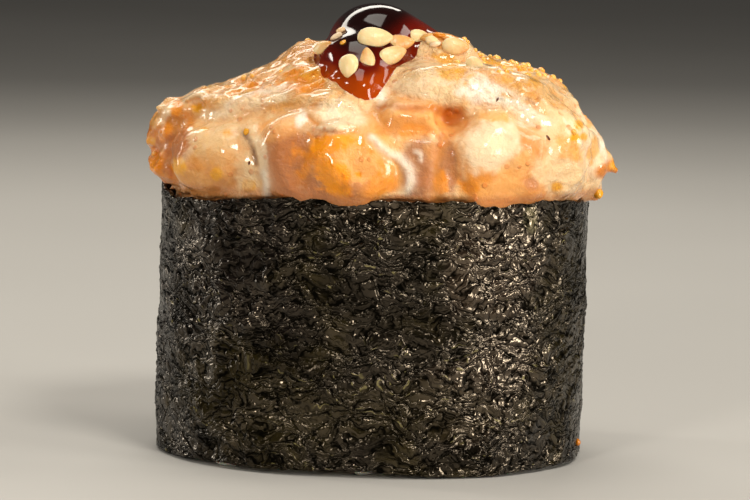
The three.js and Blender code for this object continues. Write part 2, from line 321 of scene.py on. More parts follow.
def store(piece: bpy.types.Object, name: str, values: np.ndarray) -> None:
    """Keeps a number, vector or colour for every point of a piece's mesh."""
    values = np.asarray(values, float)
    kinds = {1: ("FLOAT", "value"), 3: ("FLOAT_VECTOR", "vector"), 4: ("FLOAT_COLOR", "color")}
    kind, key = kinds[1 if values.ndim == 1 else values.shape[1]]
    attribute = piece.data.attributes.new(name, kind, "POINT")
    attribute.data.foreach_set(key, values.ravel())


def vectors_of(piece: bpy.types.Object, key: str) -> np.ndarray:
    """The places ("co", in metres) or normals ("normal") of a piece's points, one to a row."""
    flat = np.zeros(3 * len(piece.data.vertices))
    piece.data.vertices.foreach_get(key, flat)
    return flat.reshape(-1, 3)


def ring_faces(rings: int, columns: int, closed: bool = False) -> np.ndarray:
    """Faces between rings of points, and with closed from the last ring to the first too."""
    count = rings if closed else rings - 1
    i, j = np.meshgrid(np.arange(count), np.arange(columns), indexing="ij")
    up, after = (i + 1) % rings, (j + 1) % columns
    ring = [i * columns + j, i * columns + after, up * columns + after, up * columns + j]
    return np.stack(ring, axis=-1).reshape(-1, 4)


def ball(columns: int, rows: int) -> tuple[np.ndarray, list]:
    """A closed unit ball with its poles on X, as points and faces."""
    points = [(1.0, 0.0, 0.0)]
    for row in range(1, rows):
        polar = math.pi * row / rows
        for column in range(columns):
            turn = 2 * math.pi * column / columns
            side = math.sin(polar)
            points.append((math.cos(polar), side * math.cos(turn), side * math.sin(turn)))
    points.append((-1.0, 0.0, 0.0))
    last = len(points) - 1
    faces = []
    for column in range(columns):
        after = (column + 1) % columns
        faces.append([0, 1 + column, 1 + after])
        for row in range(rows - 2):
            a, b = 1 + row * columns, 1 + (row + 1) * columns
            faces.append([a + column, b + column, b + after, a + after])
        faces.append([last, last - columns + after, last - columns + column])
    return np.array(points), faces


# ---------------------------------------------------------------- node trees


class Graph:
    """Adds nodes to a shader or geometry tree and joins them."""

    def __init__(self, tree: bpy.types.NodeTree) -> None:
        """Works on one tree."""
        self.tree = tree

    def add(self, kind: str, inputs: dict | None = None, **settings: object) -> bpy.types.Node:
        """Adds a node.

        Args:
            kind: the node's type.
            inputs: socket name or number to a value, or to the socket that feeds it.
            settings: the node's own properties.

        Returns:
            The node.
        """
        node = self.tree.nodes.new(kind)
        for key, value in settings.items():
            setattr(node, key, value)
        for key, value in (inputs or {}).items():
            if isinstance(value, bpy.types.NodeSocket):
                self.tree.links.new(value, node.inputs[key])
            else:
                node.inputs[key].default_value = value
        return node

    def math(self, operation: str, *terms: object) -> bpy.types.NodeSocket:
        """A sum, product or other operation on numbers."""
        return self.add("ShaderNodeMath", dict(enumerate(terms)), operation=operation).outputs[0]

    def ridge(self, value: bpy.types.NodeSocket) -> bpy.types.NodeSocket:
        """0 along the winding lines where noise is at its middle, and more away from them."""
        return self.math("ABSOLUTE", self.math("MULTIPLY_ADD", value, 2.0, -1.0))

    def vector(self, operation: str, first: object, second: object) -> bpy.types.NodeSocket:
        """An operation on two vectors."""
        inputs = {0: first, 1: second}
        return self.add("ShaderNodeVectorMath", inputs, operation=operation).outputs[0]

    def scaled(self, vector: object, factor: object) -> bpy.types.NodeSocket:
        """A vector times a number."""
        inputs = {0: vector, "Scale": factor}
        return self.add("ShaderNodeVectorMath", inputs, operation="SCALE").outputs[0]

    def warped(self, at: object, scale: float, detail: float, reach: Point) -> bpy.types.NodeSocket:
        """A place pushed about by noise, by up to half of reach along each axis."""
        swirl = self.add("ShaderNodeTexNoise", {"Vector": at, "Scale": scale, "Detail": detail})
        push = self.vector("SUBTRACT", swirl.outputs[1], (0.5, 0.5, 0.5))
        return self.vector("ADD", at, self.vector("MULTIPLY", push, reach))

    def between(self, value: object, low: float, high: float, start: float = 0.0,
                end: float = 1.0) -> bpy.types.NodeSocket:
        """Eases from start to end as a value goes from low to high."""
        inputs = {0: value, 1: low, 2: high, 3: start, 4: end}
        return self.add("ShaderNodeMapRange", inputs, interpolation_type="SMOOTHSTEP").outputs[0]

    def mix(self, weight: object, first: object, second: object) -> bpy.types.NodeSocket:
        """Mixes two colours."""
        inputs = {0: weight, 6: first, 7: second}
        return self.add("ShaderNodeMix", inputs, data_type="RGBA").outputs[2]

    def noise(self, at: object, scale: object, detail: float = 2.0, roughness: float = 0.5,
              distortion: float = 0.0) -> bpy.types.NodeSocket:
        """Noise at a place, 0 to 1."""
        inputs = {"Vector": at, "Scale": scale, "Detail": detail, "Roughness": roughness,
                  "Distortion": distortion}
        return self.add("ShaderNodeTexNoise", inputs).outputs[0]

    def cells(self, at: object, scale: object, feature: str) -> bpy.types.NodeSocket:
        """Distance within random cells, by the cell pattern's feature."""
        inputs = {"Vector": at, "Scale": scale}
        return self.add("ShaderNodeTexVoronoi", inputs, feature=feature).outputs["Distance"]


def socket(tree: bpy.types.NodeTree, name: str, kind: str, out: bool = False,
           value: object = None) -> str:
    """Gives a tree a named input or output and returns its identifier."""
    made = tree.interface.new_socket(name, in_out="OUTPUT" if out else "INPUT", socket_type=kind)
    if value is not None:
        made.default_value = value
    return made.identifier


class Grower(Graph):
    """A geometry tree with named inputs that ends in plain geometry with a material."""

    def __init__(self, name: str, **inputs: tuple[str, object]) -> None:
        """Starts the tree.

        Args:
            name: the tree's name.
            inputs: the kind and starting value of each input, by name with underscores
                for spaces.
        """
        super().__init__(bpy.data.node_groups.new(name, "GeometryNodeTree"))
        self.sockets = {"Geometry": socket(self.tree, "Geometry", "NodeSocketGeometry")}
        for key, (kind, value) in inputs.items():
            key = key.replace("_", " ")
            self.sockets[key] = socket(self.tree, key, f"NodeSocket{kind}", value=value)
        self.sockets["Material"] = socket(self.tree, "Material", "NodeSocketMaterial")
        socket(self.tree, "Geometry", "NodeSocketGeometry", out=True)
        self.given = self.add("NodeGroupInput").outputs

    def named(self, name: str, kind: str) -> bpy.types.NodeSocket:
        """Reads an attribute of the points."""
        return self.add("GeometryNodeInputNamedAttribute", {"Name": name}, data_type=kind).outputs[0]

    def spread(self, low: object, high: float, seed: int) -> bpy.types.NodeSocket:
        """A random number from low to high for each point."""
        inputs = {2: low, 3: high, "Seed": seed}
        return self.add("FunctionNodeRandomValue", inputs, data_type="FLOAT").outputs[1]

    def laid(self, points: object, thing: object, turn: object, size: object) -> bpy.types.NodeSocket:
        """Lays a thing on every point, as geometry of its own."""
        inputs = {"Points": points, "Instance": thing, "Rotation": turn, "Scale": size}
        return self.real(self.add("GeometryNodeInstanceOnPoints", inputs).outputs[0])

    def pushed(self, geometry: object, distance: object) -> bpy.types.NodeSocket:
        """Moves points along their normals."""
        offset = self.scaled(self.add("GeometryNodeInputNormal").outputs[0], distance)
        inputs = {"Geometry": geometry, "Offset": offset}
        return self.add("GeometryNodeSetPosition", inputs).outputs[0]

    def real(self, geometry: object) -> bpy.types.NodeSocket:
        """Turns instances into geometry of their own."""
        return self.add("GeometryNodeRealizeInstances", {0: geometry}).outputs[0]

    def end(self, geometry: object) -> None:
        """Gives the geometry its material and puts it out."""
        inputs = {"Geometry": geometry, "Material": self.given["Material"]}
        self.add("NodeGroupOutput", {0: self.add("GeometryNodeSetMaterial", inputs).outputs[0]})

    def grow(self, name: str, source: bpy.types.Object, **values: object) -> bpy.types.Object:
        """Runs the tree on an object and keeps the result as a plain mesh.

        Args:
            name: the new piece's name.
            source: the object that the tree starts from, which is removed.
            values: the tree's inputs, by name with underscores for spaces.

        Returns:
            The new piece.
        """
        modifier = source.modifiers.new("grow", "NODES")
        modifier.node_group = self.tree
        for key, value in values.items():
            modifier[self.sockets[key.replace("_", " ")]] = value
        bpy.context.view_layer.update()
        graph = bpy.context.evaluated_depsgraph_get()
        mesh = bpy.data.meshes.new_from_object(source.evaluated_get(graph), depsgraph=graph)
        mesh.name = name
        source.modifiers.remove(modifier)
        bpy.data.objects.remove(source, do_unlink=True)
        mesh.polygons.foreach_set("use_smooth", [True] * len(mesh.polygons))
        return placed(name, mesh)


def mottle_group() -> bpy.types.NodeTree:
    """The group that clouds one colour with another and gives a matching height."""
    found = bpy.data.node_groups.get("mottle")
    if found:
        return found
    tree = bpy.data.node_groups.new("mottle", "ShaderNodeTree")
    socket(tree, "Place", "NodeSocketVector")
    socket(tree, "Scale", "NodeSocketFloat", value=500.0)
    socket(tree, "First", "NodeSocketColor")
    socket(tree, "Second", "NodeSocketColor")
    socket(tree, "Colour", "NodeSocketColor", out=True)
    socket(tree, "Height", "NodeSocketFloat", out=True)
    graph = Graph(tree)
    given = graph.add("NodeGroupInput").outputs
    cloud = graph.noise(given["Place"], given["Scale"], 3.0, 0.6)
    colour = graph.mix(graph.between(cloud, 0.34, 0.66), given["First"], given["Second"])
    graph.add("NodeGroupOutput", {0: colour, 1: cloud})
    return tree


class Surface:
    """A material under way: a Principled shader and the nodes that feed it."""

    def __init__(self, name: str, **constants: object) -> None:
        """Starts a material.

        Args:
            name: the material's name.
            constants: Principled inputs that are the same all over, by name with
                underscores for spaces.
        """
        self.material = bpy.data.materials.new(name)
        self.material.use_nodes = True
        self.graph = Graph(self.material.node_tree)
        self.shader = self.material.node_tree.nodes["Principled BSDF"]
        for key, value in constants.items():
            self.shader.inputs[key.replace("_", " ")].default_value = value
        self.place = self.graph.add("ShaderNodeTexCoord").outputs["Object"]

    def feed(self, name: str, value: bpy.types.NodeSocket) -> None:
        """Joins a socket to one of the shader's inputs."""
        self.graph.tree.links.new(value, self.shader.inputs[name])

    def read(self, name: str, output: str = "Fac") -> bpy.types.NodeSocket:
        """Reads an attribute of the piece's points."""
        return self.graph.add("ShaderNodeAttribute", attribute_name=name).outputs[output]

    def mottle(self, scale: float, first: object, second: object) -> bpy.types.bpy_prop_collection:
        """Adds the mottle group and returns its outputs, Colour and Height."""
        inputs = {"Place": self.place, "Scale": scale, "First": first, "Second": second}
        return self.graph.add("ShaderNodeGroup", inputs, node_tree=mottle_group()).outputs

    def bump(self, height: object, depth: float) -> None:
        """Feeds the shader's normal from a height of 0 to 1 that is worth depth metres."""
        inputs = {"Height": height, "Distance": depth, "Strength": 1.0}
        self.feed("Normal", self.graph.add("ShaderNodeBump", inputs).outputs[0])


# ---------------------------------------------------------------- the oval


@dataclass(frozen=True)
class Oval:
    """The superellipse that every layer follows."""

    length: float = 22.2
    depth: float = 18.6
    power: float = 2.2

    def radius(self, angle: np.ndarray) -> np.ndarray:
        """Distance from the axis to the oval, towards angles in radians."""
        c = np.abs(np.cos(angle)) / self.length
        s = np.abs(np.sin(angle)) / self.depth
        return (c**self.power + s**self.power) ** (-1 / self.power)


def rim_wave(angle: np.ndarray) -> np.ndarray:
    """Height of the nori's upper edge above its mean."""
    return 0.5 * np.sin(2 * angle + 4.3) + 0.2 * np.sin(5 * angle - 1)


@dataclass(frozen=True)
class FrontView:
    """The view from the front, which looks down by lean degrees and is rolled a little.

    Its plan gives places across and up in millimetres. Small things are placed on it by
    column and row, as pixels of a view that is 750 of them wide.
    """

    lean: float = 7.0
    scale: float = 9.6
    roll: float = 0.026
    pivot: tuple[float, float] = (373.0, 455.0)
    axis_column: float = 368.0
    level_row: float = 470.0
    level_height: float = -2.25

    @property
    def level(self) -> float:
        """Cosine of the lean."""
        return math.cos(math.radians(self.lean))

    @property
    def tilt(self) -> float:
        """Sine of the lean."""
        return math.sin(math.radians(self.lean))

    def plan(self, points: np.ndarray) -> np.ndarray:
        """Places across and up for rows of points."""
        return np.stack([points[:, 0], points[:, 2] * self.level + points[:, 1] * self.tilt], axis=1)

    def place(self, column: float, row: float) -> tuple[float, float]:
        """Place across and up of a pixel, to a tenth of a millimetre."""
        straight = column - self.roll * (self.pivot[1] - row)
        down = row + self.roll * (self.pivot[0] - column)
        up = (self.level_row - down) / self.scale + self.level_height
        return round((straight - self.axis_column) / self.scale, 1), round(up, 1)

    def size(self, pixels: float) -> float:
        """A length in millimetres from pixels, to two digits."""
        return float(f"{pixels / self.scale:.2g}")


FRONT = FrontView()


@dataclass(frozen=True)
class Patch:
    """A stretch of the front's plan with a colour of its own, turned by degrees."""

    middle: tuple[float, float]
    half: tuple[float, float]
    tint: Enum
    cover: float
    turn: float
    ragged: float

    def weight(self, plan: np.ndarray, rough: np.ndarray) -> np.ndarray:
        """How much of the colour each row of the plan takes, with an edge made rough."""
        c, s = math.cos(math.radians(self.turn)), math.sin(math.radians(self.turn))
        across, up = (plan - np.asarray(self.middle)).T
        gap = np.hypot((c * across + s * up) / self.half[0], (c * up - s * across) / self.half[1])
        return self.cover * smoothstep(1.25, 0.75, gap + self.ragged * rough)


# ---------------------------------------------------------------- nori


@dataclass
class NoriBand:
    """The strip of seaweed round the rice, crinkled, with its ends lapped at the back."""

    oval: Oval
    sheet: float = 0.45
    height: float = 27.6
    lap_start: float = 62.0
    lap_rise: float = 9.0
    lap_end: float = 104.0
    columns: int = 660
    rows: int = 132
    foot: float = 0.45
    crinkle: float = 0.34
    edge_radius: float = 30.0
    low_tears: Ripple = Ripple(0.12, 3, 2.2)
    high_tears: Ripple = Ripple(0.25, 3, 2.6)
    nicks: Ripple = Ripple(0.15, 3, 0.9)
    waves: Ripple = Ripple(0.24, 8, 1.0)
    clouds: Ripple = Ripple(1.0, 4, 6.0)
    flecks: Ripple = Ripple(0.5, 5, 2.4)
    damp: Ripple = Ripple(1.0, 6, 5.0)
    patches: tuple[Patch, ...] = (
        # The three sheen patches are painted reflection: lighter plates on the right and along the
        # upper edge.
        Patch((12.5, 19.8), (5.6, 5.4), Weed.PAINTED_SHEEN, 0.9, 60, 0.5),
        Patch((11.8, 7.5), (6.0, 4.2), Weed.PAINTED_SHEEN, 0.6, 30, 0.7),
        Patch((3.5, 24.6), (7.0, 1.4), Weed.PAINTED_SHEEN, 0.6, 0, 0.7),
        Patch((-13.5, 20.5), (6.6, 6.0), Weed.PLUM, 0.9, 0, 0.4),
        Patch((-12.0, 5.0), (8.5, 5.0), Weed.OLIVE, 0.8, -12, 0.5),
        Patch((3.0, 4.6), (9.0, 2.6), Weed.OLIVE, 0.6, 0, 0.5),
        Patch((19.6, 12.0), (3.0, 12.0), Weed.OLIVE, 0.5, 0, 0.5),
        Patch((15.9, 24.2), (0.7, 1.6), Weed.SMEAR, 0.5, 10, 0.9),
    )

    def angles(self) -> np.ndarray:
        """Angles of the columns in degrees, from the cut end round to it again."""
        return self.lap_end + 0.2 + np.linspace(0, 359.6, self.columns)

    def lift(self, degrees: np.ndarray) -> np.ndarray:
        """How far the upper ply raises the face, as a share of the sheet."""
        place = np.mod(degrees, 360)
        rise = smoothstep(self.lap_start, self.lap_start + self.lap_rise, place)
        return np.where((place > self.lap_start) & (place < self.lap_end), rise, 0)

    def wall(self) -> tuple[np.ndarray, np.ndarray, np.ndarray]:
        """The closed band before it is crinkled.

        Returns:
            Points, sheet coordinates (along, up, outer face or not), and faces.
        """
        degrees = self.angles()
        angle = np.radians(degrees)
        edge = np.stack([self.edge_radius * np.cos(angle), self.edge_radius * np.sin(angle),
                         0 * angle], axis=1)
        low = self.foot + 0.2 * np.sin(3 * angle + 1) + 0.1 * np.sin(7 * angle)
        low += self.low_tears(edge)
        high = self.height + rim_wave(angle) + self.high_tears(edge + 50)
        high += self.nicks(edge + 90)
        base = self.oval.radius(angle)
        step = np.hypot(*np.diff(np.stack([base * np.cos(angle), base * np.sin(angle)]), axis=1))
        along = np.concatenate([[0], np.cumsum(step)])
        rings, marks = [], []
        shares = np.linspace(0, 1, self.rows)
        profile = [(0.0, s, 1.0) for s in shares] + [(-1.0, s, 0.0) for s in (1.0, 0.5, 0.0)]
        for inward, share, outer in profile:
            z = low + (high - low) * share
            points = np.stack([3 * np.cos(angle), 3 * np.sin(angle), z / 7], axis=1)
            rise = self.sheet * self.lift(degrees) * outer
            reach = base + self.sheet * inward + self.waves(points) + rise
            rings.append(np.stack([reach * np.cos(angle), reach * np.sin(angle), z], axis=1))
            near_edge = smoothstep(0, 0.02, np.minimum(share, 1 - share) + 0 * z)
            marks.append(np.stack([along, z, outer * (0.35 + 0.65 * near_edge)], axis=1))
        faces = ring_faces(len(rings), self.columns, closed=True)
        return np.concatenate(rings), np.concatenate(marks), faces

    def relief(self) -> Grower:
        """Geometry Nodes that crinkle the outer face, less so near its edges."""
        g = Grower("nori_relief", Crinkle=("Float", self.crinkle * MM),
                   Wrinkle_length=("Float", 2.1), Plate_size=("Float", 1.6))
        given = g.given
        parts = g.add("ShaderNodeSeparateXYZ", {0: g.named("sheet", "FLOAT_VECTOR")}).outputs
        flat = g.add("ShaderNodeCombineXYZ", {0: parts[0], 1: parts[1]}).outputs[0]
        bent = g.warped(flat, 0.16, 2.0, (7.0, 7.0, 0.0))
        wave = g.math("DIVIDE", 1.0, given["Wrinkle length"])
        broad = g.noise(flat, 0.3)
        pleat = g.noise(g.vector("MULTIPLY", bent, (0.42, 1.0, 1.0)), wave, 3.0, 0.6, 0.8)
        fold = g.math("MINIMUM", g.math("MULTIPLY", g.ridge(pleat), 3.2), 1.0)
        drawn = g.vector("MULTIPLY", bent, (0.6, 1.0, 1.0))
        fine = g.noise(drawn, 1.5, 2.0, 0.6, 0.9)
        thread = g.math("MINIMUM", g.math("MULTIPLY", g.ridge(fine), 4.0), 1.0)
        density = g.math("DIVIDE", 1.0, given["Plate size"])
        plate = g.cells(drawn, density, "DISTANCE_TO_EDGE")
        crack = g.between(plate, 0.0, 0.1, 1.0, 0.0)
        rough = g.between(g.noise(flat, 0.11, 2.0), 0.38, 0.6, 0.35, 1.0)
        height = g.math("MULTIPLY", fold, 0.5)
        height = g.math("MULTIPLY_ADD", thread, 0.35, height)
        height = g.math("MULTIPLY_ADD", crack, -0.25, height)
        height = g.math("MULTIPLY", height, rough)
        height = g.math("MULTIPLY_ADD", broad, 0.8, height)
        size = g.math("MULTIPLY", g.math("SUBTRACT", height, 0.75), given["Crinkle"])
        size = g.math("MULTIPLY", size, parts[2])
        g.end(g.real(g.pushed(given["Geometry"], size)))
        return g

    def painted(self, points: np.ndarray) -> np.ndarray:
        """Colours of the sheet's raised plates, one for each point, with painted reflection in the
        sheen patches.
        """
        broad = self.clouds(points) + self.flecks(points)
        colour = coat(Weed.DARK, len(points))
        colour = blend(smoothstep(0.1, 0.9, broad), colour, Weed.OLIVE)
        colour = blend(smoothstep(0.1, 0.9, -broad), colour, Weed.PLUM)
        plan = FRONT.plan(points)
        front = smoothstep(2.0, -2.0, points[:, 1])
        for patch in self.patches:
            colour = blend(front * patch.weight(plan, broad), colour, patch.tint)
        return colour

    def glossed(self, points: np.ndarray) -> np.ndarray:
        """How glossy the sheet is: damp on the right, drier on the left."""
        broad = self.damp(points)
        gloss = 0.58 + 0.16 * smoothstep(-9, 7, points[:, 0]) + 0.5 * broad
        plan = FRONT.plan(points)
        for patch in self.patches:
            if patch.tint in (Weed.PAINTED_SHEEN, Weed.PLUM):
                gain = 0.85 if patch.tint is Weed.PAINTED_SHEEN else 0.15
                gloss += gain * patch.weight(plan, broad) * (points[:, 1] < 0)
        return np.clip(gloss, 0.1, 1.5)

    def build(self, material: bpy.types.Material) -> bpy.types.Object:
        """Makes the band and dresses it."""
        points, marks, faces = self.wall()
        raw = make_object("nori_raw", points, faces)
        store(raw, "sheet", marks)
        store(raw, "tint", self.painted(points))
        store(raw, "gloss", self.glossed(points))
        piece = self.relief().grow("nori_sheet", raw, Material=material)
        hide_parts("nori_band")
        return finished(piece)


def finished(piece: bpy.types.Object,
             material: bpy.types.Material | None = None) -> bpy.types.Object:
    """Gives a piece its material if it has none yet, ties it to the part and logs it."""
    if material:
        piece.data.materials.append(material)
    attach(piece, "root")
    triangles = sum(len(p.vertices) - 2 for p in piece.data.polygons)
    LOG.info("%s: %d triangles", piece.name, triangles)
    return piece


def turned(name: str, oval: Oval, profile: list[tuple[float, float]],
           step: float = 2.5) -> bpy.types.Object:
    """A closed solid that follows the oval.

    Args:
        name: the piece's name.
        oval: what it follows.
        profile: shares of the oval's radius and heights, from below.
        step: degrees between its points.
    """
    angle = np.radians(np.arange(0, 360, step))
    reach = oval.radius(angle)
    rings = [np.stack([share * reach * np.cos(angle), share * reach * np.sin(angle),
                       z + 0 * angle], axis=1) for share, z in profile]
    around = np.arange(len(angle))
    top = (len(rings) - 1) * len(angle) + around
    faces = [*ring_faces(len(rings), len(angle)), around[::-1], top]
    return make_object(name, np.concatenate(rings), faces)


# ---------------------------------------------------------------- rice


@dataclass
class PressedRice:
    """The block of rice, with every grain of its underside."""

    oval: Oval
    base: float = 0.9
    top: float = 19.0
    edge: float = 1.1
    belly: float = 10.0
    wall_gap: float = 1.0
    grain: Point = (5.4, 2.7, 2.4)
    pitch: tuple[float, float] = (3.7, 2.5)
    jitter: tuple[float, float] = (0.5, 0.4)
    seat_heights: tuple[float, float] = (0.85, 1.45)

    def core(self, material: bpy.types.Material) -> bpy.types.Object:
        """The block that the grains sit on."""
        low, high = self.base, self.top
        profile = [(0.02, low), (0.9, low), (0.95, low + self.edge), (0.955, self.belly),
                   (0.95, high - self.edge), (0.9, high), (0.02, high)]
        piece = turned("rice_core", self.oval, profile)
        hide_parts("rice_block")
        return finished(piece, material)

    def seats(self) -> np.ndarray:
        """Where the grains of the underside lie."""
        rng = np.random.default_rng(11)
        along, across = self.pitch
        rows = int(self.oval.depth / across)
        places = []
        for j in range(-rows, rows + 1):
            for i in range(-7, 8):
                x = (i + 0.5 * (j % 2)) * along + rng.uniform(-self.jitter[0], self.jitter[0])
                y = j * across + rng.uniform(-self.jitter[1], self.jitter[1])
                room = self.oval.radius(np.arctan2(y, x)) - math.hypot(x, y)
                if room > self.wall_gap + 0.5 * self.grain[1] + 0.25:
                    places.append((x, y, rng.uniform(*self.seat_heights)))
        return np.array(places)

    @staticmethod
    def scatter() -> Grower:
        """Geometry Nodes that lay a grain on every seat and press it flat below."""
        g = Grower("rice_grains", Grain=("Object", None), Size=("Vector", None),
                   Uneven=("Float", 0.14))
        given = g.given
        grain = g.add("GeometryNodeObjectInfo", {"Object": given["Grain"]}).outputs["Geometry"]
        turns = {0: (-0.2, -0.2, 0.0), 1: (0.2, 0.2, 6.28), "Seed": 4}
        yaw = g.add("FunctionNodeRandomValue", turns, data_type="FLOAT_VECTOR").outputs[0]
        low = g.math("SUBTRACT", 1.0, given["Uneven"])
        size = g.scaled(given["Size"], g.spread(low, 1.06, 9))
        laid = g.laid(given["Geometry"], grain, yaw, size)
        rough = g.noise(g.add("GeometryNodeInputPosition").outputs[0], 700.0, 2.0)
        bumpy = g.pushed(laid, g.math("MULTIPLY_ADD", rough, 0.0003, -0.00015))
        floor = g.vector("MAXIMUM", g.add("GeometryNodeInputPosition").outputs[0],
                         (-1.0, -1.0, 0.0))
        inputs = {"Geometry": bumpy, "Position": floor}
        g.end(g.add("GeometryNodeSetPosition", inputs).outputs[0])
        return g

    def grains(self, material: bpy.types.Material) -> bpy.types.Object:
        """The grains that show underneath."""
        points, faces = ball(14, 12)
        points[:, 2] *= 1 - 0.12 * points[:, 0] ** 2
        grain = make_object("rice_grain", points / MM, faces)
        seats = make_object("rice_seats", self.seats(), [])
        size = tuple(0.5 * side * MM for side in self.grain)
        piece = self.scatter().grow("rice_grains", seats, Grain=grain, Size=size, Material=material)
        bpy.data.objects.remove(grain, do_unlink=True)
        return finished(piece)


# ---------------------------------------------------------------- the baked topping


@dataclass(frozen=True)
class Chunk:
    """A piece of seafood under the sauce: its place, half sizes, turn and colours.

    The cheek colour shows on the side that cheek_side points to.
    """

    at: Point
    size: Point
    turn: float
    flesh: Tint
    cheek: Tint
    cheek_side: Point


@dataclass(frozen=True)
class Lump:
    """A swelling of the sauce, or with a hollow a dent in it."""

    at: Point
    size: Point
    turn: float = 0.0
    hollow: bool = False


@dataclass(frozen=True)
class Strand:
    """A ridge, or with a negative rise a furrow, through places on the front's plan."""

    route: tuple[tuple[float, float], ...]
    width: float
    rise: float
    tint: Tint
    cover: float


@dataclass(frozen=True)
class Spur:
    """A tapering finger of sauce between two places, with a radius at each."""

    start: Point
    end: Point
    radii: tuple[float, float]

    def distance(self, points: np.ndarray) -> np.ndarray:
        """How far points are outside the finger."""
        share, gap = along_segment(points, self.start, self.end)
        return gap - self.radii[0] - share * (self.radii[1] - self.radii[0])


# ---------------------------------------------------------------- small things by column and row


def folds(*rows: tuple) -> tuple[Strand, ...]:
    """Strands from rows of the route's pixels, width, rise, tint and cover."""
    return tuple(Strand(tuple(FRONT.place(*spot) for spot in route), *look) for route, *look in rows)


def dabs(*rows: tuple) -> tuple[Patch, ...]:
    """Patches from rows of middle column and row, half width and height, tint, cover, turn, ragged."""
    return tuple(Patch(FRONT.place(column, row), (FRONT.size(wide), FRONT.size(high)), *look)
                 for column, row, wide, high, *look in rows)


PALE_CHUNK_FOLDS = folds(
    # The dark strand down this crease is painted shade.
    (((250, 138), (255, 146), (259, 155), (262, 168)), 0.28, -0.4, Tint.CREASE_SHADE_AND_PEPPER, 0.9),
    (((253, 135), (264, 149), (268.6, 171), (272, 185)), 0.7, 0.12, Tint.PALE, 0.4),
    (((270, 178), (271, 187), (271, 196)), 0.4, 0.15, Tint.WHITE, 0.7),
    # This pale streak is a painted highlight.
    (((189, 164), (198, 153), (205, 141), (214, 136)), 0.3, 0.16, Tint.PALE, 0.4),
    (((218.6, 119), (231, 119), (243, 109), (254, 106), (260, 99)), 0.3, 0.3, Tint.PALE, 0.85),
)
ORANGE_CHUNK_FOLDS = folds(
    (((372, 143), (380, 152), (388, 159), (398, 162), (407, 173), (409, 185), (406, 193)),
     0.45, 0.25, Tint.WHITE, 0.85),
    (((372, 150), (384, 161), (396, 170), (401, 182), (401, 192)), 0.3, -0.22, Tint.HONEY, 0.5),
    (((323, 134), (340, 135.5), (354, 134)), 0.3, 0.35, Tint.PALE, 0.8),
    (((323, 138), (340, 139.5), (356, 137)), 0.25, -0.3, Tint.FLESH, 0.6),
    (((310, 123), (321, 131)), 0.2, -0.25, Tint.TOAST, 0.6),
)
LEDGE_FOLDS = folds(
    # The amber furrow under the ledge is painted shade.
    (((378, 114), (400, 115.5), (433, 117), (456, 118)), 0.45, -0.3, Tint.AMBER, 0.6),
    (((458, 129), (447, 137), (439, 150), (433, 168), (432, 190), (435, 205)),
     0.6, -0.35, Tint.FLESH, 0.6),
    (((458, 146), (458.5, 165), (460, 182)), 0.35, 0.1, Tint.PALE, 0.35),
    (((413, 157), (418, 158), (419, 165)), 0.16, 0.16, Tint.WHITE, 0.8),
)
RIGHT_FOLDS = folds(
    (((592, 127), (597, 143), (600, 160)), 0.6, 0.2, Tint.WHITE, 0.7),
    (((495, 105), (512, 110), (527, 118)), 0.3, 0.3, Tint.WHITE, 0.8),
    (((497, 101), (520, 108), (540, 120)), 0.25, -0.25, Tint.HONEY, 0.8),
    (((467, 117), (480, 112), (500, 114), (520, 124), (545, 128)), 0.45, 0.35, Tint.PALE, 0.6),
)
CROWN_FOLDS = folds(
    (((376, 92), (380, 97), (382, 106)), 0.45, 0.5, Tint.WHITE, 0.9),
    (((180, 98), (200, 92), (230, 84), (262, 70)), 0.35, 0.25, Tint.PALE, 0.5),
    (((212, 91), (225, 88)), 0.3, -0.2, Tint.ORANGE, 0.85),
    (((236, 99), (248, 94), (261, 88)), 0.5, -0.3, Tint.ORANGE, 0.85),
    (((232, 111), (250, 101), (272, 96), (286, 92)), 0.3, 0.3, Tint.WHITE, 0.6),
)
LEFT_END_DABS = dabs(
    (157, 133, 10, 19, Tint.TOAST, 1, -18, 0.3), (165, 146, 6, 12, Tint.ROSY, 0.8, -18, 0.5),
    (158, 163, 12, 12, Tint.TOAST, 1, -20, 0.2), (160, 122, 7, 8, Tint.HONEY, 0.8, 0, 0.5),
    (155, 170, 6, 6, Tint.VIVID, 0.8, 0, 0.4), (152, 143, 6, 5, Tint.GOLD, 0.7, 0, 0.3),
    # The pale dab at column 169 is a painted highlight on the left end's ridge.
    (169, 119, 4.5, 13, Tint.PALE, 0.45, -25, 0.6), (186, 126, 13, 15, Tint.FLESH, 1, -20, 0.2),
    (181, 111, 6, 9, Tint.ORANGE, 0.8, -20, 0.3), (170, 136, 6, 9, Tint.ORANGE, 0.8, -30, 0.3),
    (184, 150, 15, 17, Tint.ROSY, 1, -35, 0.2), (176, 170, 9, 10, Tint.ROSY, 0.7, 0, 0.2),
)
PALE_CHUNK_DABS = dabs(
    (234, 120, 32, 14, Tint.CREAM, 0.85, 10, 0.3), (202, 112, 6, 5, Tint.GOLD, 1, 0, 0.15),
    (210, 136, 5, 5, Tint.GOLD, 1, 0, 0.15), (233, 139, 5, 5, Tint.GOLD, 1, 0, 0.15),
    (184, 170, 8, 8, Tint.GOLD, 1, 0, 0.25), (200, 183, 22, 10, Tint.HONEY, 0.45, -10, 0.2),
    (228, 150, 34, 18, Tint.CREAM, 0.6, -8, 0.4), (228, 168, 22, 13, Tint.PEACH, 0.6, -8, 0.4),
    (223, 178, 6.5, 6.5, Tint.GOLD, 1, 0, 0.2), (254, 188, 6.5, 6.5, Tint.GOLD, 1, 0, 0.2),
    (250, 176, 9, 16, Tint.CREAM, 0.6, 10, 0.2),
)
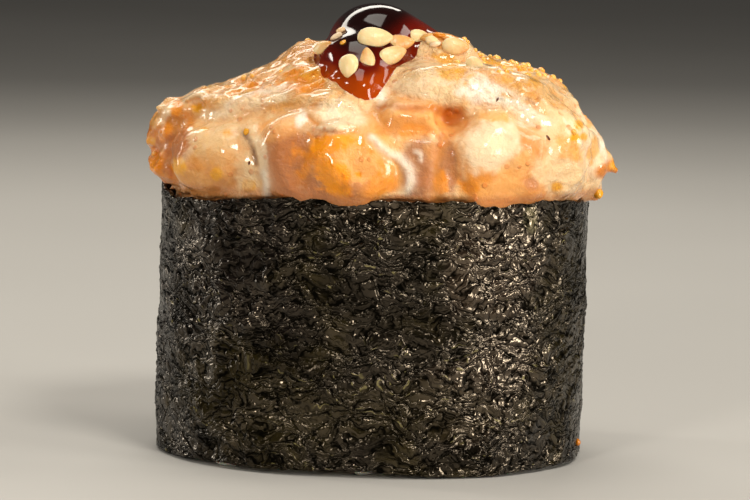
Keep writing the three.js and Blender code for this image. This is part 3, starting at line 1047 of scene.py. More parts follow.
ORANGE_CHUNK_DABS = dabs(
    (266, 160, 6, 26, Tint.PALE, 0.7, 12, 0.15), (281, 135, 22, 12, Tint.PEACH, 0.6, 10, 0.2),
    (298, 172, 25, 30, Tint.ROSY, 0.85, 0, 0.15), (312, 196, 26, 9, Tint.ROSY, 0.6, 12, 0.15),
    (340, 148, 30, 8, Tint.PEACH, 0.6, 4, 0.15), (345, 160, 44, 20, Tint.VIVID, 0.6, 12, 0.4),
    (334, 150, 20, 9, Tint.VIVID, 0.9, 6, 0.5), (330, 173, 12, 19, Tint.VIVID, 0.9, -8, 0.6),
    (343, 194, 12, 9, Tint.VIVID, 0.9, -20, 0.2), (359, 170, 25, 16, Tint.PEACH, 0.95, -14, 0.6),
    (345, 187, 6, 8, Tint.TOAST, 0.7, -25, 0.5), (337, 182, 12, 13, Tint.VIVID, 0.95, -10, 0.5),
    (347, 181, 4, 3, Tint.VIVID, 0.9, 0, 0.3), (359, 178, 3.2, 2.6, Tint.VIVID, 0.9, 0, 0.3),
    (384, 186, 13, 9, Tint.ORANGE, 0.55, 0, 0.2), (390, 150, 14, 7, Tint.PEACH, 0.7, -35, 0.2),
    (343, 121, 23, 13, Tint.PALE, 0.95, -8, 0.15), (305, 126, 5, 9, Tint.WHITE, 0.9, -20, 0.2),
)
LEDGE_DABS = dabs(
    (416, 127, 38, 13, Tint.PEACH, 0.9, 0, 0.3), (404, 132, 24, 10, Tint.FLESH, 0.8, 0, 0.3),
    (412, 139, 14, 9, Tint.ORANGE, 0.5, 0, 0.2), (436, 127, 11, 6, Tint.PEACH, 0.85, -10, 0.3),
    # The two amber dabs are painted shade in the hollow under the ledge, over its orange.
    (449, 123, 11, 9, Tint.AMBER, 1, -30, 0.05), (449, 123, 8, 6, Tint.AMBER, 1, -30, 0.05),
    # The mauve dabs on this line and the next are the flesh's mauve, darkened as painted shade in the
    # recess between chunks.
    (419, 172, 18, 31, Tint.MAUVE, 0.9, 0, 0.15), (429, 156, 8, 8, Tint.PEACH, 0.4, 0, 0.3),
    (444, 168, 10, 28, Tint.MAUVE, 0.9, 8, 0.2), (439, 188, 7, 13, Tint.ORANGE, 0.85, 0, 0.3),
)
WHITE_CAP_DABS = dabs(
    (485, 150, 29, 24, Tint.PALE, 0.95, 22, 0.2), (512, 172, 24, 11, Tint.PEACH, 0.8, 38, 0.2),
    (495, 192, 26, 11, Tint.PEACH, 0.75, 10, 0.2), (464, 191, 11, 7, Tint.ORANGE, 1, -15, 0.3),
    (536, 156, 12, 9, Tint.FLESH, 0.5, 20, 0.2),
)
RIGHT_END_DABS = dabs(
    (558, 176, 32, 20, Tint.CREAM, 0.95, -8, 0.15), (525, 187, 8, 6, Tint.ROSY, 0.7, -20, 0.2),
    (551, 189, 6, 5, Tint.GOLD, 1, 0, 0.2), (560, 140, 34, 26, Tint.CREAM, 0.7, -40, 0.2),
    (561, 153, 18, 10, Tint.PEACH, 0.95, -30, 0.4), (570, 158, 10, 5, Tint.HONEY, 0.7, -30, 0.2),
    (588, 150, 14, 38, Tint.PALE, 0.85, 14, 0.2), (598, 148, 5, 16, Tint.WHITE, 0.6, 15, 0.4),
    (589, 152, 7, 15, Tint.HONEY, 0.85, -20, 0.4), (590, 190, 12, 10, Tint.CREAM, 0.8, 0, 0.2),
    (606, 171, 15, 9, Tint.TOAST, 1, 20, 0.1), (611, 167, 5, 4, Tint.GOLD, 0.8, 20, 0.2),
    (601, 155, 5, 10, Tint.HONEY, 0.8, -25, 0.3), (589, 120, 5, 12, Tint.HONEY, 0.8, -25, 0.5),
    (592, 202, 5, 4.5, Tint.VIVID, 0.95, 0, 0.1),
)
# Painted shade: the rosy and mauve dabs darken the lower edge where the chunks overhang the nori's
# rim.
HEM_SHADE_DABS = dabs(
    (281, 203, 12, 5, Tint.ROSY, 0.8, 0, 0.1), (415, 202, 30, 5, Tint.MAUVE, 0.8, 0, 0.1),
    (210, 195, 30, 4, Tint.HONEY, 0.6, -4, 0.1),
)
ROE_DABS = dabs(
    (572, 129, 5, 5, Tint.GOLD, 0.9, 0, 0.15), (568, 141, 5, 4.5, Tint.GOLD, 1, 0, 0.15),
    (577, 141, 4, 4, Tint.GOLD, 0.9, 0, 0.15), (581, 106, 5, 5, Tint.GOLD, 0.9, 0, 0.15),
)
SHELF_DABS = dabs(
    (432, 88, 60, 20, Tint.CREAM, 0.9, -12, 0.2), (410, 96, 22, 8, Tint.PALE, 0.5, -8, 0.5),
    (468, 88, 40, 10, Tint.WHITE, 0.6, -20, 0.4), (482, 101, 26, 9, Tint.WHITE, 0.9, -10, 0.2),
    (495, 108, 46, 15, Tint.WHITE, 0.75, -22, 0.25), (515, 95, 28, 6, Tint.HONEY, 0.6, -20, 0.5),
)
RIGHT_CROWN_DABS = dabs(
    (443, 64, 11, 6, Tint.GOLD, 0.8, -25, 0.5), (444, 42, 16, 8, Tint.HONEY, 0.9, -20, 0.6),
    (438, 49, 8, 5, Tint.ORANGE, 0.7, -30, 0.6), (452, 40, 7, 5, Tint.ORANGE, 0.7, -40, 0.6),
    (490, 65, 9, 6, Tint.GOLD, 1, -10, 0.5), (504, 67, 12, 5, Tint.GOLD, 0.9, -15, 0.5),
    (530, 86, 7, 9, Tint.GOLD, 0.9, -20, 0.5), (455, 84, 6, 10, Tint.GOLD, 0.6, -10, 0.5),
    (556, 80, 14, 8, Tint.PEACH, 0.8, -35, 0.5), (567, 86, 6, 8, Tint.GOLD, 0.8, -35, 0.4),
    (451, 80, 18, 10, Tint.GOLD, 0.9, -15, 0.3), (505, 84, 20, 6, Tint.GOLD, 0.4, -20, 0.6),
    (490, 120, 22, 7, Tint.HONEY, 0.9, -5, 0.4), (545, 100, 20, 9, Tint.HONEY, 0.55, -35, 0.5),
)
LEFT_CROWN_DABS = dabs(
    (307, 85, 21, 14, Tint.ORANGE, 0.95, -5, 0.6), (312, 80, 12, 8, Tint.GOLD, 0.7, -5, 0.6),
    (270, 105, 28, 9, Tint.PALE, 0.7, 14, 0.3), (248, 95, 13, 6, Tint.GOLD, 0.9, 25, 0.5),
    (258, 89, 5, 4, Tint.GOLD, 1, 30, 0.3), (215, 90, 9, 4, Tint.GOLD, 0.8, 10, 0.5),
    (205, 98, 22, 7, Tint.PALE, 0.6, 14, 0.4), (282, 112, 14, 4, Tint.HONEY, 0.7, 8, 0.5),
    (260, 80, 36, 10, Tint.PEACH, 0.6, 26, 0.5), (300, 58, 20, 10, Tint.FLESH, 0.65, 15, 0.5),
    (283, 66, 16, 6, Tint.HONEY, 0.6, 25, 0.6),
)


# ---------------------------------------------------------------- the topping itself


@dataclass
class Topping:
    """Seafood chunks baked into a heap of creamy sauce."""

    oval: Oval
    cell: float = 0.25
    overhang: float = 0.965
    rim: float = 27.75
    outline: tuple[tuple[float, float], ...] = (
        (0.97, 28.9), (0.975, 31), (0.955, 34), (0.905, 36.6), (0.81, 38.5),
        (0.64, 40.3), (0.42, 41.8), (0.15, 43.0), (0, 43.2),
    )
    belly: float = 25.6
    plug_floor: float = 20.2
    plug_top: float = 26.4
    plug_share: float = 0.93
    low: Point = (-25.6, -21.8, 22.9)
    high: Point = (26.1, 21.8, 45.9)
    lump_blend: float = 1.6
    spur_blend: float = 0.5
    dent_blend: float = 0.8
    chunk_blend: float = 0.35
    chunk_power: float = 2.3
    crest: tuple[tuple[float, float], ...] = (
        (-24, -0.9), (-18, -1.0), (-14, -1.7), (-10.5, -0.9), (-8.5, 0.1), (-4, 0.0),
        (5, 0.0), (9, 0.0), (13, 0.2), (17.5, 0.9), (24, 0.9),
    )
    crest_fade: tuple[float, float] = (33.0, 38.0)
    rim_fade: tuple[float, float] = (30.0, 27.5)
    ridge: tuple[float, float, float] = (0.2, 33.0, 40.0)
    profile_step: float = 0.15
    profile_across: tuple[float, float] = (0.0, 27.0)
    profile_up: tuple[float, float] = (22.0, 48.0)
    depths: tuple[float, float, float] = (-21.4, 6.0, 0.15)
    swell: Ripple = Ripple(0.3, 33, 4.2)
    dimples: Ripple = Ripple(0.15, 34, 1.7)
    flake_slope: float = 24.0
    flakes: Ripple = Ripple(1.0, 31, (3.0, 2.2, 0.8))
    scales: Ripple = Ripple(0.6, 32, (1.4, 1.2, 0.5))
    crust: Ripple = Ripple(1.0, 35, 1.0)
    strings: Ripple = Ripple(1.0, 37, (1.2, 1.5, 2.6))
    pores: Ripple = Ripple(1.0, 36, 0.85)
    clouds: Ripple = Ripple(1.0, 51, 3.4)
    flecks: Ripple = Ripple(1.0, 52, 1.2)
    singes: Ripple = Ripple(0.6, 53, 1.7)
    frays: Ripple = Ripple(0.8, 54, 0.6)
    puddles: Ripple = Ripple(0.5, 61, 2.4)
    beads: Ripple = Ripple(0.3, 62, 0.8)
    chunks: tuple[Chunk, ...] = (
        Chunk((-19.5, -3.6, 32.0), (4.2, 4.1, 4.1), -72, Tint.FLESH, Tint.TOAST, (-1, 0, 0.6)),
        Chunk((-19.2, -4.4, 29.6), (3.5, 3.7, 1.9), -72, Tint.TOAST, Tint.ORANGE, (-1, 0, -0.2)),
        Chunk((-14.9, -10.5, 30.9), (5.7, 4.3, 3.9), -38, Tint.FLESH, Tint.HONEY, (-0.5, 0, 1)),
        Chunk((-4.3, -14.7, 31.6), (8.0, 4.8, 4.9), -4, Tint.ROSY, Tint.ORANGE, (1, 0, 0.1)),
        Chunk((5.0, -13.9, 30.4), (4.2, 3.9, 4.2), 8, Tint.ROSY, Tint.FLESH, (1, 0, 0)),
        Chunk((4.0, -13.0, 35.0), (4.8, 3.9, 2.8), 10, Tint.FLESH, Tint.ORANGE, (1, 0, 0.6)),
        Chunk((12.0, -12.8, 31.7), (6.2, 4.8, 4.9), 30, Tint.FLESH, Tint.ORANGE, (-0.5, 0, -1)),
        Chunk((18.1, -4.4, 31.4), (5.2, 4.6, 4.4), 68, Tint.HONEY, Tint.CREAM, (1, 0, 0.5)),
    )
    back: tuple[tuple[float, Tint, Point], ...] = (
        (1.0, Tint.FLESH, (1, 0, 0)), (0.94, Tint.ROSY, (0, 0, 1)),
        (1.08, Tint.FLESH, (-1, 0, -1)), (0.97, Tint.HONEY, (1, 1, 0)),
        (1.03, Tint.ROSY, (0, 1, 1)),
    )
    back_start: float = 24
    back_step: float = 35
    back_share: float = 0.87
    back_height: float = 31.2
    back_lift: float = 0.4
    back_size: Point = (5.6, 4.5, 4.6)
    lumps: tuple[Lump, ...] = (
        Lump((8.6, -9.8, 38.2), (8.4, 5.4, 3.0), 6),
        Lump((-4.2, -11.8, 37.0), (4.6, 4.0, 2.2)),
        Lump((-13.0, -8.6, 36.6), (6.0, 3.6, 1.7), -24),
        Lump((17.2, -9.6, 32.4), (4.6, 4.2, 5.4), 40),
        Lump((7.2, -16.2, 36.0), (1.5, 1.9, 1.1), 0, True),
        Lump((-24.8, -5.0, 31.0), (2.4, 3.2, 0.7), 0, True),
        Lump((21.6, -4.6, 30.7), (2.1, 2.2, 2.0)),
        Lump((22.7, -4.5, 27.7), (0.6, 0.8, 0.8)),
        Lump((-19.6, -5.0, 35.3), (2.8, 3.0, 1.4)),
        Lump((6.3, -3.6, 41.9), (3.6, 2.8, 1.7)),
    )
    spurs: tuple[Spur, ...] = (
        Spur((21.4, -4.4, 31.2), (24.5, -4.2, 30.3), (2.3, 0.4)),
        Spur((21.0, -4.4, 34.2), (23.7, -4.3, 31.0), (1.0, 0.9)),
    )
    strands: tuple[Strand, ...] = (
        *PALE_CHUNK_FOLDS, *ORANGE_CHUNK_FOLDS, *LEDGE_FOLDS, *RIGHT_FOLDS, *CROWN_FOLDS,
    )
    patches: tuple[Patch, ...] = (
        *LEFT_END_DABS, *PALE_CHUNK_DABS, *ORANGE_CHUNK_DABS, *LEDGE_DABS, *WHITE_CAP_DABS,
        *RIGHT_END_DABS, *HEM_SHADE_DABS, *ROE_DABS, *SHELF_DABS, *RIGHT_CROWN_DABS, *LEFT_CROWN_DABS,
    )
    box: Voxels = field(init=False)

    def seafood(self) -> list[Chunk]:
        """Every chunk: those in front, then those round the back, evenly spaced."""
        found = list(self.chunks)
        for index, (scale, flesh, side) in enumerate(self.back):
            degrees = self.back_start + self.back_step * index
            angle = math.radians(degrees)
            reach = self.back_share * float(self.oval.radius(np.array(angle)))
            height = self.back_height + self.back_lift * (index % 2)
            at = (reach * math.cos(angle), reach * math.sin(angle), height)
            size = tuple(scale * half for half in self.back_size)
            found.append(Chunk(at, size, degrees + 90, flesh, Tint.ORANGE, side))
        return found

    def heap(self, points: np.ndarray) -> np.ndarray:
        """About how far points are outside the sauce's own heap."""
        x, y, z = points.T
        angle = np.arctan2(y, x)
        places, lifts = np.transpose(self.crest)
        z = z - smoothstep(*self.crest_fade, z) * np.interp(x, places, lifts)
        z = z - rim_wave(angle) * smoothstep(*self.rim_fade, z)
        narrowing, low, high = self.ridge
        y = y / (1 - narrowing * smoothstep(low, high, z))
        angle = np.arctan2(y, x)
        mean = 0.5 * (self.oval.length + self.oval.depth)
        share = np.hypot(x, y) / self.oval.radius(angle) * mean
        bottom = [(0, self.belly), (self.plug_share, self.belly), (self.plug_share, self.rim)]
        outline = np.array([*bottom, (self.overhang, self.rim), *self.outline]) * (mean, 1)
        step = self.profile_step
        across, up = np.arange(*self.profile_across, step), np.arange(*self.profile_up, step)
        table = self.profile_distance(outline, across, up)
        i = np.clip((share - across[0]) / step, 0, len(across) - 1.01)
        j = np.clip((z - up[0]) / step, 0, len(up) - 1.01)
        a, b = i.astype(int), j.astype(int)
        u, v = i - a, j - b
        upper = table[a, b + 1] * (1 - u) + table[a + 1, b + 1] * u
        lower = table[a, b] * (1 - u) + table[a + 1, b] * u
        return lower * (1 - v) + upper * v

    @staticmethod
    def profile_distance(outline: np.ndarray, across: np.ndarray, up: np.ndarray) -> np.ndarray:
        """Signed distances from a half profile, for a table of places."""
        grid = np.stack(np.meshgrid(across, up, indexing="ij"), axis=-1).reshape(-1, 2)
        gap = np.full(len(grid), np.inf)
        crossings = np.zeros(len(grid), int)
        for start, end in zip(outline[:-1], outline[1:]):
            gap = np.minimum(gap, along_segment(grid, start, end)[1])
            spans = (start[1] > grid[:, 1]) != (end[1] > grid[:, 1])
            out, rise = end - start
            meet = start[0] + (grid[:, 1] - start[1]) * out / (rise or 1.0)
            crossings += spans & (grid[:, 0] < meet)
        signed = np.where(crossings % 2 == 1, -gap, gap)
        return signed.reshape(len(across), len(up))

    def parts(self, points: np.ndarray) -> tuple[np.ndarray, np.ndarray, np.ndarray]:
        """Distances from the sauce and from the seafood, and the nearest chunk's number."""
        body = self.heap(points)
        for lump in self.lumps:
            if not lump.hollow:
                swelling = lobe_distance(points, lump.at, lump.size, lump.turn)
                body = smooth_min(body, swelling, self.lump_blend)
        for spur in self.spurs:
            body = smooth_min(body, spur.distance(points), self.spur_blend)
        warp = points + 0.9 * np.stack([Crumple(21 + a)(points, 4.6) for a in range(3)], axis=1)
        warp += 0.22 * np.stack([Crumple(27 + a)(points, 2.1) for a in range(3)], axis=1)
        seafood = np.full(len(points), 9.0)
        nearest = np.zeros(len(points), int)
        for number, chunk in enumerate(self.seafood()):
            lump = lobe_distance(warp, chunk.at, chunk.size, chunk.turn, self.chunk_power)
            nearest[lump < seafood] = number
            seafood = smooth_min(seafood, lump, self.chunk_blend)
        return body, seafood, nearest

    def crags(self, points: np.ndarray) -> np.ndarray:
        """Height of the sauce's own unevenness: flaky on the left crown, fine elsewhere."""
        x, y, z = points.T
        crown = smoothstep(35.5, 38.5, z + 0.12 * np.abs(x))
        left = crown * smoothstep(1.0, -5.0, x) * smoothstep(9.0, 3.0, y)
        end = smoothstep(-18.5, -21.0, x)
        right = crown * smoothstep(6.0, 10.0, x)
        slope = math.radians(self.flake_slope)
        c, s = math.cos(slope), math.sin(slope)
        sloped = np.stack([c * x + s * z, y, c * z - s * x], axis=1)
        flakes = self.flakes(sloped) + self.scales(sloped)
        height = self.swell(points) + self.dimples(points)
        height += 0.42 * np.maximum(left, end) * (flakes - 0.35)
        east = smoothstep(17.0, 20.5, x)
        height += np.maximum(0.14 * right, 0.2 * np.maximum(end, east)) * self.crust(points)
        height += 0.2 * east * self.strings(sloped)
        height += 0.09 * np.maximum(crown, 0.3) * self.pores(points)
        return height * (1 - 0.85 * smoothstep(6.0, 3.0, np.hypot(x - 4.5, z - 34.8)))

    def front(self, route: tuple[tuple[float, float], ...]) -> np.ndarray:
        """Lays a route of places across and up on the skin, as points, one to a row."""
        depths = np.arange(*self.depths)
        found = []
        for x, up in route:
            z = (up - depths * FRONT.tilt) / FRONT.level
            line = np.stack([0 * depths + x, depths, z], axis=1)
            inside = np.flatnonzero(self.box.sample(line) < 0)
            found.append(line[inside[0] if len(inside) else -1])
        return np.array(found)

    def shape(self) -> None:
        """Fills the field with the whole topping's distances, with its crags and strands."""
        self.box = Voxels(self.low, self.high, self.cell)
        points = self.box.points()
        base = self.heap(points)
        values = self.box.values.reshape(-1)
        values[:] = base
        near = np.flatnonzero((base < 4.2) & (base > -3.2))
        spots = points[near]
        body, seafood, _ = self.parts(spots)
        whole = smooth_min(body, seafood, 0.5 + 0.9 * smoothstep(14, 19, spots[:, 0]))
        calm = 1 - 0.4 * smoothstep(0.5, -0.3, seafood - body)
        for lump in self.lumps:
            if lump.hollow:
                dent = lobe_distance(spots, lump.at, lump.size, lump.turn)
                whole = -smooth_min(-whole, dent, self.dent_blend)
        shell = np.abs(whole) < 1.6
        whole[shell] -= calm[shell] * self.crags(spots[shell])
        values[near] = whole
        for strand in self.strands:
            gap = strand_distance(spots[shell], self.front(strand.route))
            whole[shell] -= strand.rise * np.exp(-((gap / strand.width) ** 2))
        values[near] = whole

    def painted(self, points: np.ndarray, normals: np.ndarray) -> np.ndarray:
        """Linear colours of the skin's points, whose normals are given, with painted shade in cavities
        and along the lower rim.
        """
        body, seafood, nearest = self.parts(points)
        broad, small = self.clouds(points), self.flecks(points)
        colour = coat(Tint.CREAM, len(points))
        colour = blend(0.7 * smoothstep(0.0, 0.8, broad + 0.3 * small), colour, Tint.HONEY)
        flesh = colour.copy()
        for number, chunk in enumerate(self.seafood()):
            mine = nearest == number
            local = (points[mine] - chunk.at) / np.asarray(chunk.size)
            side = np.asarray(chunk.cheek_side) / np.linalg.norm(chunk.cheek_side)
            cheek = smoothstep(-0.1, 0.6, local @ side + 0.35 * broad[mine])
            own = coat(chunk.flesh, int(mine.sum()))
            flesh[mine] = blend(cheek, own, chunk.cheek)
        bare = smoothstep(0.3, -0.5, seafood - body + 0.5 * small)
        colour = blend(0.9 * bare, colour, flesh)
        film = smoothstep(0.25, 0.8, normals[:, 2] + 0.4 * broad)
        colour = blend(0.6 * film, colour, Tint.CREAM)
        x, y, z = points.T
        plan = FRONT.plan(points)
        reach = 0.9
        openness = np.zeros(len(points))
        for axis in np.vstack([np.eye(3), -np.eye(3)]):
            openness += self.box.sample(points + reach * axis) / (6 * reach)
        # Painted shade: closed cavities are darkened towards the flesh colour.
        cavity_shade = smoothstep(0.0, -0.16, openness)
        colour = blend(0.4 * cavity_shade, colour, Tint.FLESH)
        crown = smoothstep(36.5, 39.5, z + 0.1 * np.abs(x))
        colour = blend(0.6 * crown * smoothstep(2, -6, x), colour, Tint.HONEY)
        patchy = 0.55 * broad + self.singes(points) + 1.3 * openness
        singe = smoothstep(0.12, 0.7, patchy)
        colour = blend(0.5 * singe * crown, colour, Tint.TOAST)
        front = smoothstep(4.5, 0.5, y)
        rough = small + self.frays(points)
        for patch in self.patches:
            colour = blend(front * patch.weight(plan, rough), colour, patch.tint)
        # Painted shade: cavities on the front are warmed towards orange.
        colour = blend(0.2 * cavity_shade * front, colour, Tint.ORANGE)
        # Painted shade along the lower edge, where the topping meets the nori's rim.
        colour = blend(0.7 * smoothstep(28.9, 28.1, z), colour, Tint.ROSY)
        for strand in self.strands:
            gap = strand_distance(points, self.front(strand.route))
            weight = np.exp(-((gap / (1.2 * strand.width)) ** 2))
            colour = blend(strand.cover * weight, colour, strand.tint)
        return colour

    def build(self, material: bpy.types.Material) -> bpy.types.Object:
        """Makes the topping's skin and paints it."""
        self.shape()
        points, faces = self.box.surface()
        points = relaxed(relaxed(points, faces, 0.6), faces, 0.5)
        piece = make_object("baked_topping", points, faces)
        store(piece, "tint", self.painted(points, vectors_of(piece, "normal")))
        wet = 0.5 + self.puddles(points) + self.beads(points)
        x, _, z = points.T
        wet -= 0.45 * smoothstep(4.5, 2.5, np.hypot(x - 11.5, z - 32.5))
        wet -= 0.4 * smoothstep(6.0, 3.5, np.hypot(x - 4.5, z - 34.0))
        store(piece, "wet", np.clip(wet, 0, 1))
        _, seafood, _ = self.parts(points)
        bare = smoothstep(0.4, -0.4, seafood)
        creamy = smoothstep(-2, 1, x) * smoothstep(14, 9, x) * smoothstep(41, 39.5, z)
        high = smoothstep(36.0, 38.5, z) * (1 - 0.8 * creamy)
        store(piece, "crag", np.clip(0.3 + 0.7 * high - 0.25 * bare, 0, 1))
        nodes = [f"seafood_chunk_{number:02d}" for number in range(1, 13)]
        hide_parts("baked_sauce", *nodes)
        return finished(piece, material)

    def plug(self, material: bpy.types.Material) -> bpy.types.Object:
        """The sauce down inside the band, over the rice."""
        reach, low, high = self.plug_share, self.plug_floor, self.plug_top
        profile = [(0.02, low), (reach, low), (reach, high), (0.02, high)]
        piece = turned("sauce_plug", self.oval, profile)
        store(piece, "tint", coat(Tint.CREAM, len(piece.data.vertices)))
        return finished(piece, material)


# ---------------------------------------------------------------- eel sauce


@dataclass
class EelSauce:
    """The spoon of dark syrup on the crown, thin at its rim and thick in the middle."""

    cell: float = 0.2
    lobes: tuple[Lump, ...] = (
        Lump((-0.1, -1.8, 42.2), (5.2, 5.6, 4.4)),
        Lump((3.1, -0.8, 41.7), (4.2, 3.8, 2.9)),
        Lump((-1.7, -6.0, 41.2), (4.5, 4.6, 2.9)),
        Lump((-1.9, -9.0, 39.8), (3.3, 3.6, 1.9)),
        Lump((-1.6, -11.4, 38.5), (1.9, 2.9, 1.7)),
    )
    low: Point = (-8.6, -15.6, 36.0)
    high: Point = (8.6, 6.4, 47.4)
    lobe_blend: float = 1.4
    swell: Ripple = Ripple(0.12, 71, 3.0)
    wetting: float = 0.7
    bury: float = 0.5

    def build(self, topping: Topping, material: bpy.types.Material) -> bpy.types.Object:
        """Makes the syrup over the topping, with its thickness kept for its colour."""
        box = Voxels(self.low, self.high, self.cell)
        points = box.points()
        pool = np.full(len(points), 9.0)
        for lobe in self.lobes:
            pool = smooth_min(pool, lobe_distance(points, lobe.at, lobe.size), self.lobe_blend)
        pool += self.swell(points)
        ground = topping.box.sample(points)
        wet = smooth_min(pool, ground, self.wetting)
        keep = np.maximum(-(ground + self.bury), pool - 0.5)
        box.values = np.maximum(wet, keep).reshape(box.shape)
        skin, faces = box.surface()
        skin = relaxed(relaxed(skin, faces, 0.6), faces, 0.6)
        piece = make_object("eel_sauce_pool", skin, faces)
        across, up = FRONT.plan(skin).T
        thin = smoothstep(40.2, 37.0, up) * smoothstep(3.5, 1.5, across)
        depth = np.clip(topping.box.sample(skin), 0, 6) * (1 - 0.72 * thin)
        store(piece, "depth", np.maximum(depth, 0.9 - 0.9 * thin))
        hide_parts("eel_sauce")
        return finished(piece, material)


# ---------------------------------------------------------------- seeds, roe and pepper


class Ground:
    """What small things can lie on."""

    def __init__(self, *pieces: bpy.types.Object) -> None:
        """Makes the pieces ready to be met by lines."""
        self.trees = [BVHTree.FromPolygons([v.co for v in piece.data.vertices],
                                           [p.vertices for p in piece.data.polygons])
                      for piece in pieces]

    def meet(self, start: Vector, toward: Vector) -> tuple[Vector, Vector]:
        """Where a line first meets a piece, and the normal there.

        Raises:
            ValueError: the line misses every piece.
        """
        hits = [tree.ray_cast(start, toward) for tree in self.trees]
        hits = [hit for hit in hits if hit[0] is not None]
        if not hits:
            raise ValueError(f"nothing to lie on towards {tuple(toward)} from {tuple(start)}")
        return min(hits, key=lambda hit: hit[3])[:2]


def axes_on(facing: Vector, degrees: float) -> np.ndarray:
    """Axes of a thing that faces one way, with its length turned by degrees in the front's view."""
    turn = math.radians(degrees)
    along = Vector((math.cos(turn), 0, math.sin(turn)))
    along = (along - along.dot(facing) * facing).normalized()
    return np.array([along, facing.cross(along), facing])


def joined(name: str, shapes: list[np.ndarray], faces: list) -> bpy.types.Object:
    """One mesh of many shapes that have the same faces."""
    starts = range(0, len(shapes) * len(shapes[0]), len(shapes[0]))
    every = [[start + corner for corner in face] for start in starts for face in faces]
    return make_object(name, np.concatenate(shapes), every)


@dataclass(frozen=True)
class Seed:
    """One sesame seed: its place seen from the front, angle, size, toasting and lean outwards."""

    x: float
    z: float
    angle: float
    length: float
    width: float
    toast: float
    lean: float


@dataclass
class SesameSeeds:
    """Sesame seeds scattered where the eel sauce was poured."""

    flatness: float = 3.6
    sink: float = 0.25
    away: float = 60.0
    seeds: tuple[Seed, ...] = (
        Seed(-0.4, 43.4, 3, 3.7, 2.2, 0.1, 1.4),
        Seed(2.1, 42.9, 12, 3.2, 1.7, 0.7, 1.1),
        Seed(1.3, 41.8, 22, 3.3, 1.8, 0.35, 1.2),
        Seed(-1.1, 41.5, 96, 2.3, 1.5, 0.6, 1.0),
        Seed(-2.9, 40.7, -84, 2.6, 2.0, 0.0, 1.0),
        Seed(4.0, 43.5, 8, 2.3, 1.4, 0.2, 1.0),
        Seed(5.5, 43.1, -20, 1.6, 1.1, 0.3, 1.0),
        Seed(7.8, 42.6, -4, 2.8, 1.8, 0.4, 1.0),
        Seed(9.7, 41.3, -42, 1.9, 1.4, 0.3, 0.8),
        Seed(-5.6, 42.3, 8, 2.3, 1.3, 0.5, 0.6),
    )

    def build(self, ground: Ground, material: bpy.types.Material) -> bpy.types.Object:
        """Lays the seeds on what a level line from the front meets."""
        shape, faces = ball(18, 14)
        taper = 1 - 0.24 * shape[:, 0] - 0.08 * shape[:, 0] ** 2
        shape[:, 1] *= taper
        shape[:, 2] *= taper * (1 - 0.18 * np.abs(shape[:, 1]))
        hulls = []
        for number, seed in enumerate(self.seeds):
            start = Vector((seed.x, -self.away, seed.z)) * MM
            spot, normal = ground.meet(start, Vector((0, 1, 0)))
            facing = (normal + seed.lean * Vector((0, -1, 0))).normalized()
            half = (seed.length / 2, seed.width / 2, seed.width / self.flatness)
            bent = shape * half
            bent = bent + 0.05 * Crumple(80 + number)(bent, 0.9)[:, None] * shape
            centre = np.array(spot) / MM + (half[2] - self.sink) * np.array(facing)
            hulls.append(bent @ axes_on(facing, seed.angle) + centre)
        piece = joined("sesame_seeds", hulls, faces)
        store(piece, "toast", np.repeat([seed.toast for seed in self.seeds], len(shape)))
        store(piece, "lengthwise", np.tile(shape[:, 0], len(self.seeds)))
        return finished(piece, material)


@dataclass(frozen=True)
class Crumb:
    """One bit on the surface: place on the front's plan, half sizes, angle and colour."""

    across: float
    up: float
    size: Point
    angle: float
    tint: Tint


@dataclass
class Crumbs:
    """Pepper flakes, toasted crumbs and the few single beads of roe."""

    away: float = 80.0
    bits: tuple[Crumb, ...] = (
        Crumb(17.2, 32.3, (0.3, 0.13, 0.12), -60, Tint.CREASE_SHADE_AND_PEPPER),
        Crumb(12.0, 36.0, (0.22, 0.1, 0.1), 60, Tint.CREASE_SHADE_AND_PEPPER),
        Crumb(-12.6, 29.0, (0.2, 0.12, 0.1), 80, Tint.CREASE_SHADE_AND_PEPPER),
        Crumb(-4.3, 42.1, (0.65, 0.35, 0.3), 60, Tint.PALE),
        Crumb(-3.9, 42.8, (0.55, 0.4, 0.3), -30, Tint.CREAM),
        Crumb(-3.6, 41.5, (0.35, 0.25, 0.2), 70, Tint.GOLD),
        Crumb(22.8, 27.0, (0.5, 0.5, 0.45), 0, Tint.GOLD),
        Crumb(21.6, 1.3, (0.36, 0.4, 0.3), 0, Tint.TOAST),
        Crumb(-13.0, 32.1, (0.34, 0.34, 0.24), 0, Tint.GOLD),
        Crumb(21.7, 35.0, (0.42, 0.42, 0.4), 0, Tint.GOLD),
        Crumb(4.9, 42.4, (0.7, 0.45, 0.4), 30, Tint.HONEY),
        Crumb(6.2, 42.6, (0.8, 0.35, 0.35), -50, Tint.ORANGE),
        Crumb(7.2, 42.2, (0.9, 0.35, 0.3), -40, Tint.PEACH),
        Crumb(5.8, 41.7, (0.6, 0.3, 0.3), 20, Tint.PALE),
    )

    def build(self, ground: Ground, material: bpy.types.Material) -> bpy.types.Object:
        """Sets the bits on what a line of the front's view meets."""
        shape, faces = ball(12, 8)
        toward = Vector((0, -FRONT.level, FRONT.tilt))
        blobs = []
        for number, bit in enumerate(self.bits):
            start = Vector((bit.across, 0, bit.up / FRONT.level)) * MM
            spot, normal = ground.meet(start + self.away * MM * toward, -toward)
            rough = 1 + 0.25 * Crumple(101 + number)(shape, 0.8)[:, None]
            centre = np.array(spot) / MM + 0.3 * bit.size[2] * np.array(normal)
            blobs.append((shape * bit.size * rough) @ axes_on(normal, bit.angle) + centre)
        piece = joined("crumbs", blobs, faces)
        store(piece, "tint", np.repeat([bit.tint.value for bit in self.bits], len(shape), axis=0))
        return finished(piece, material)


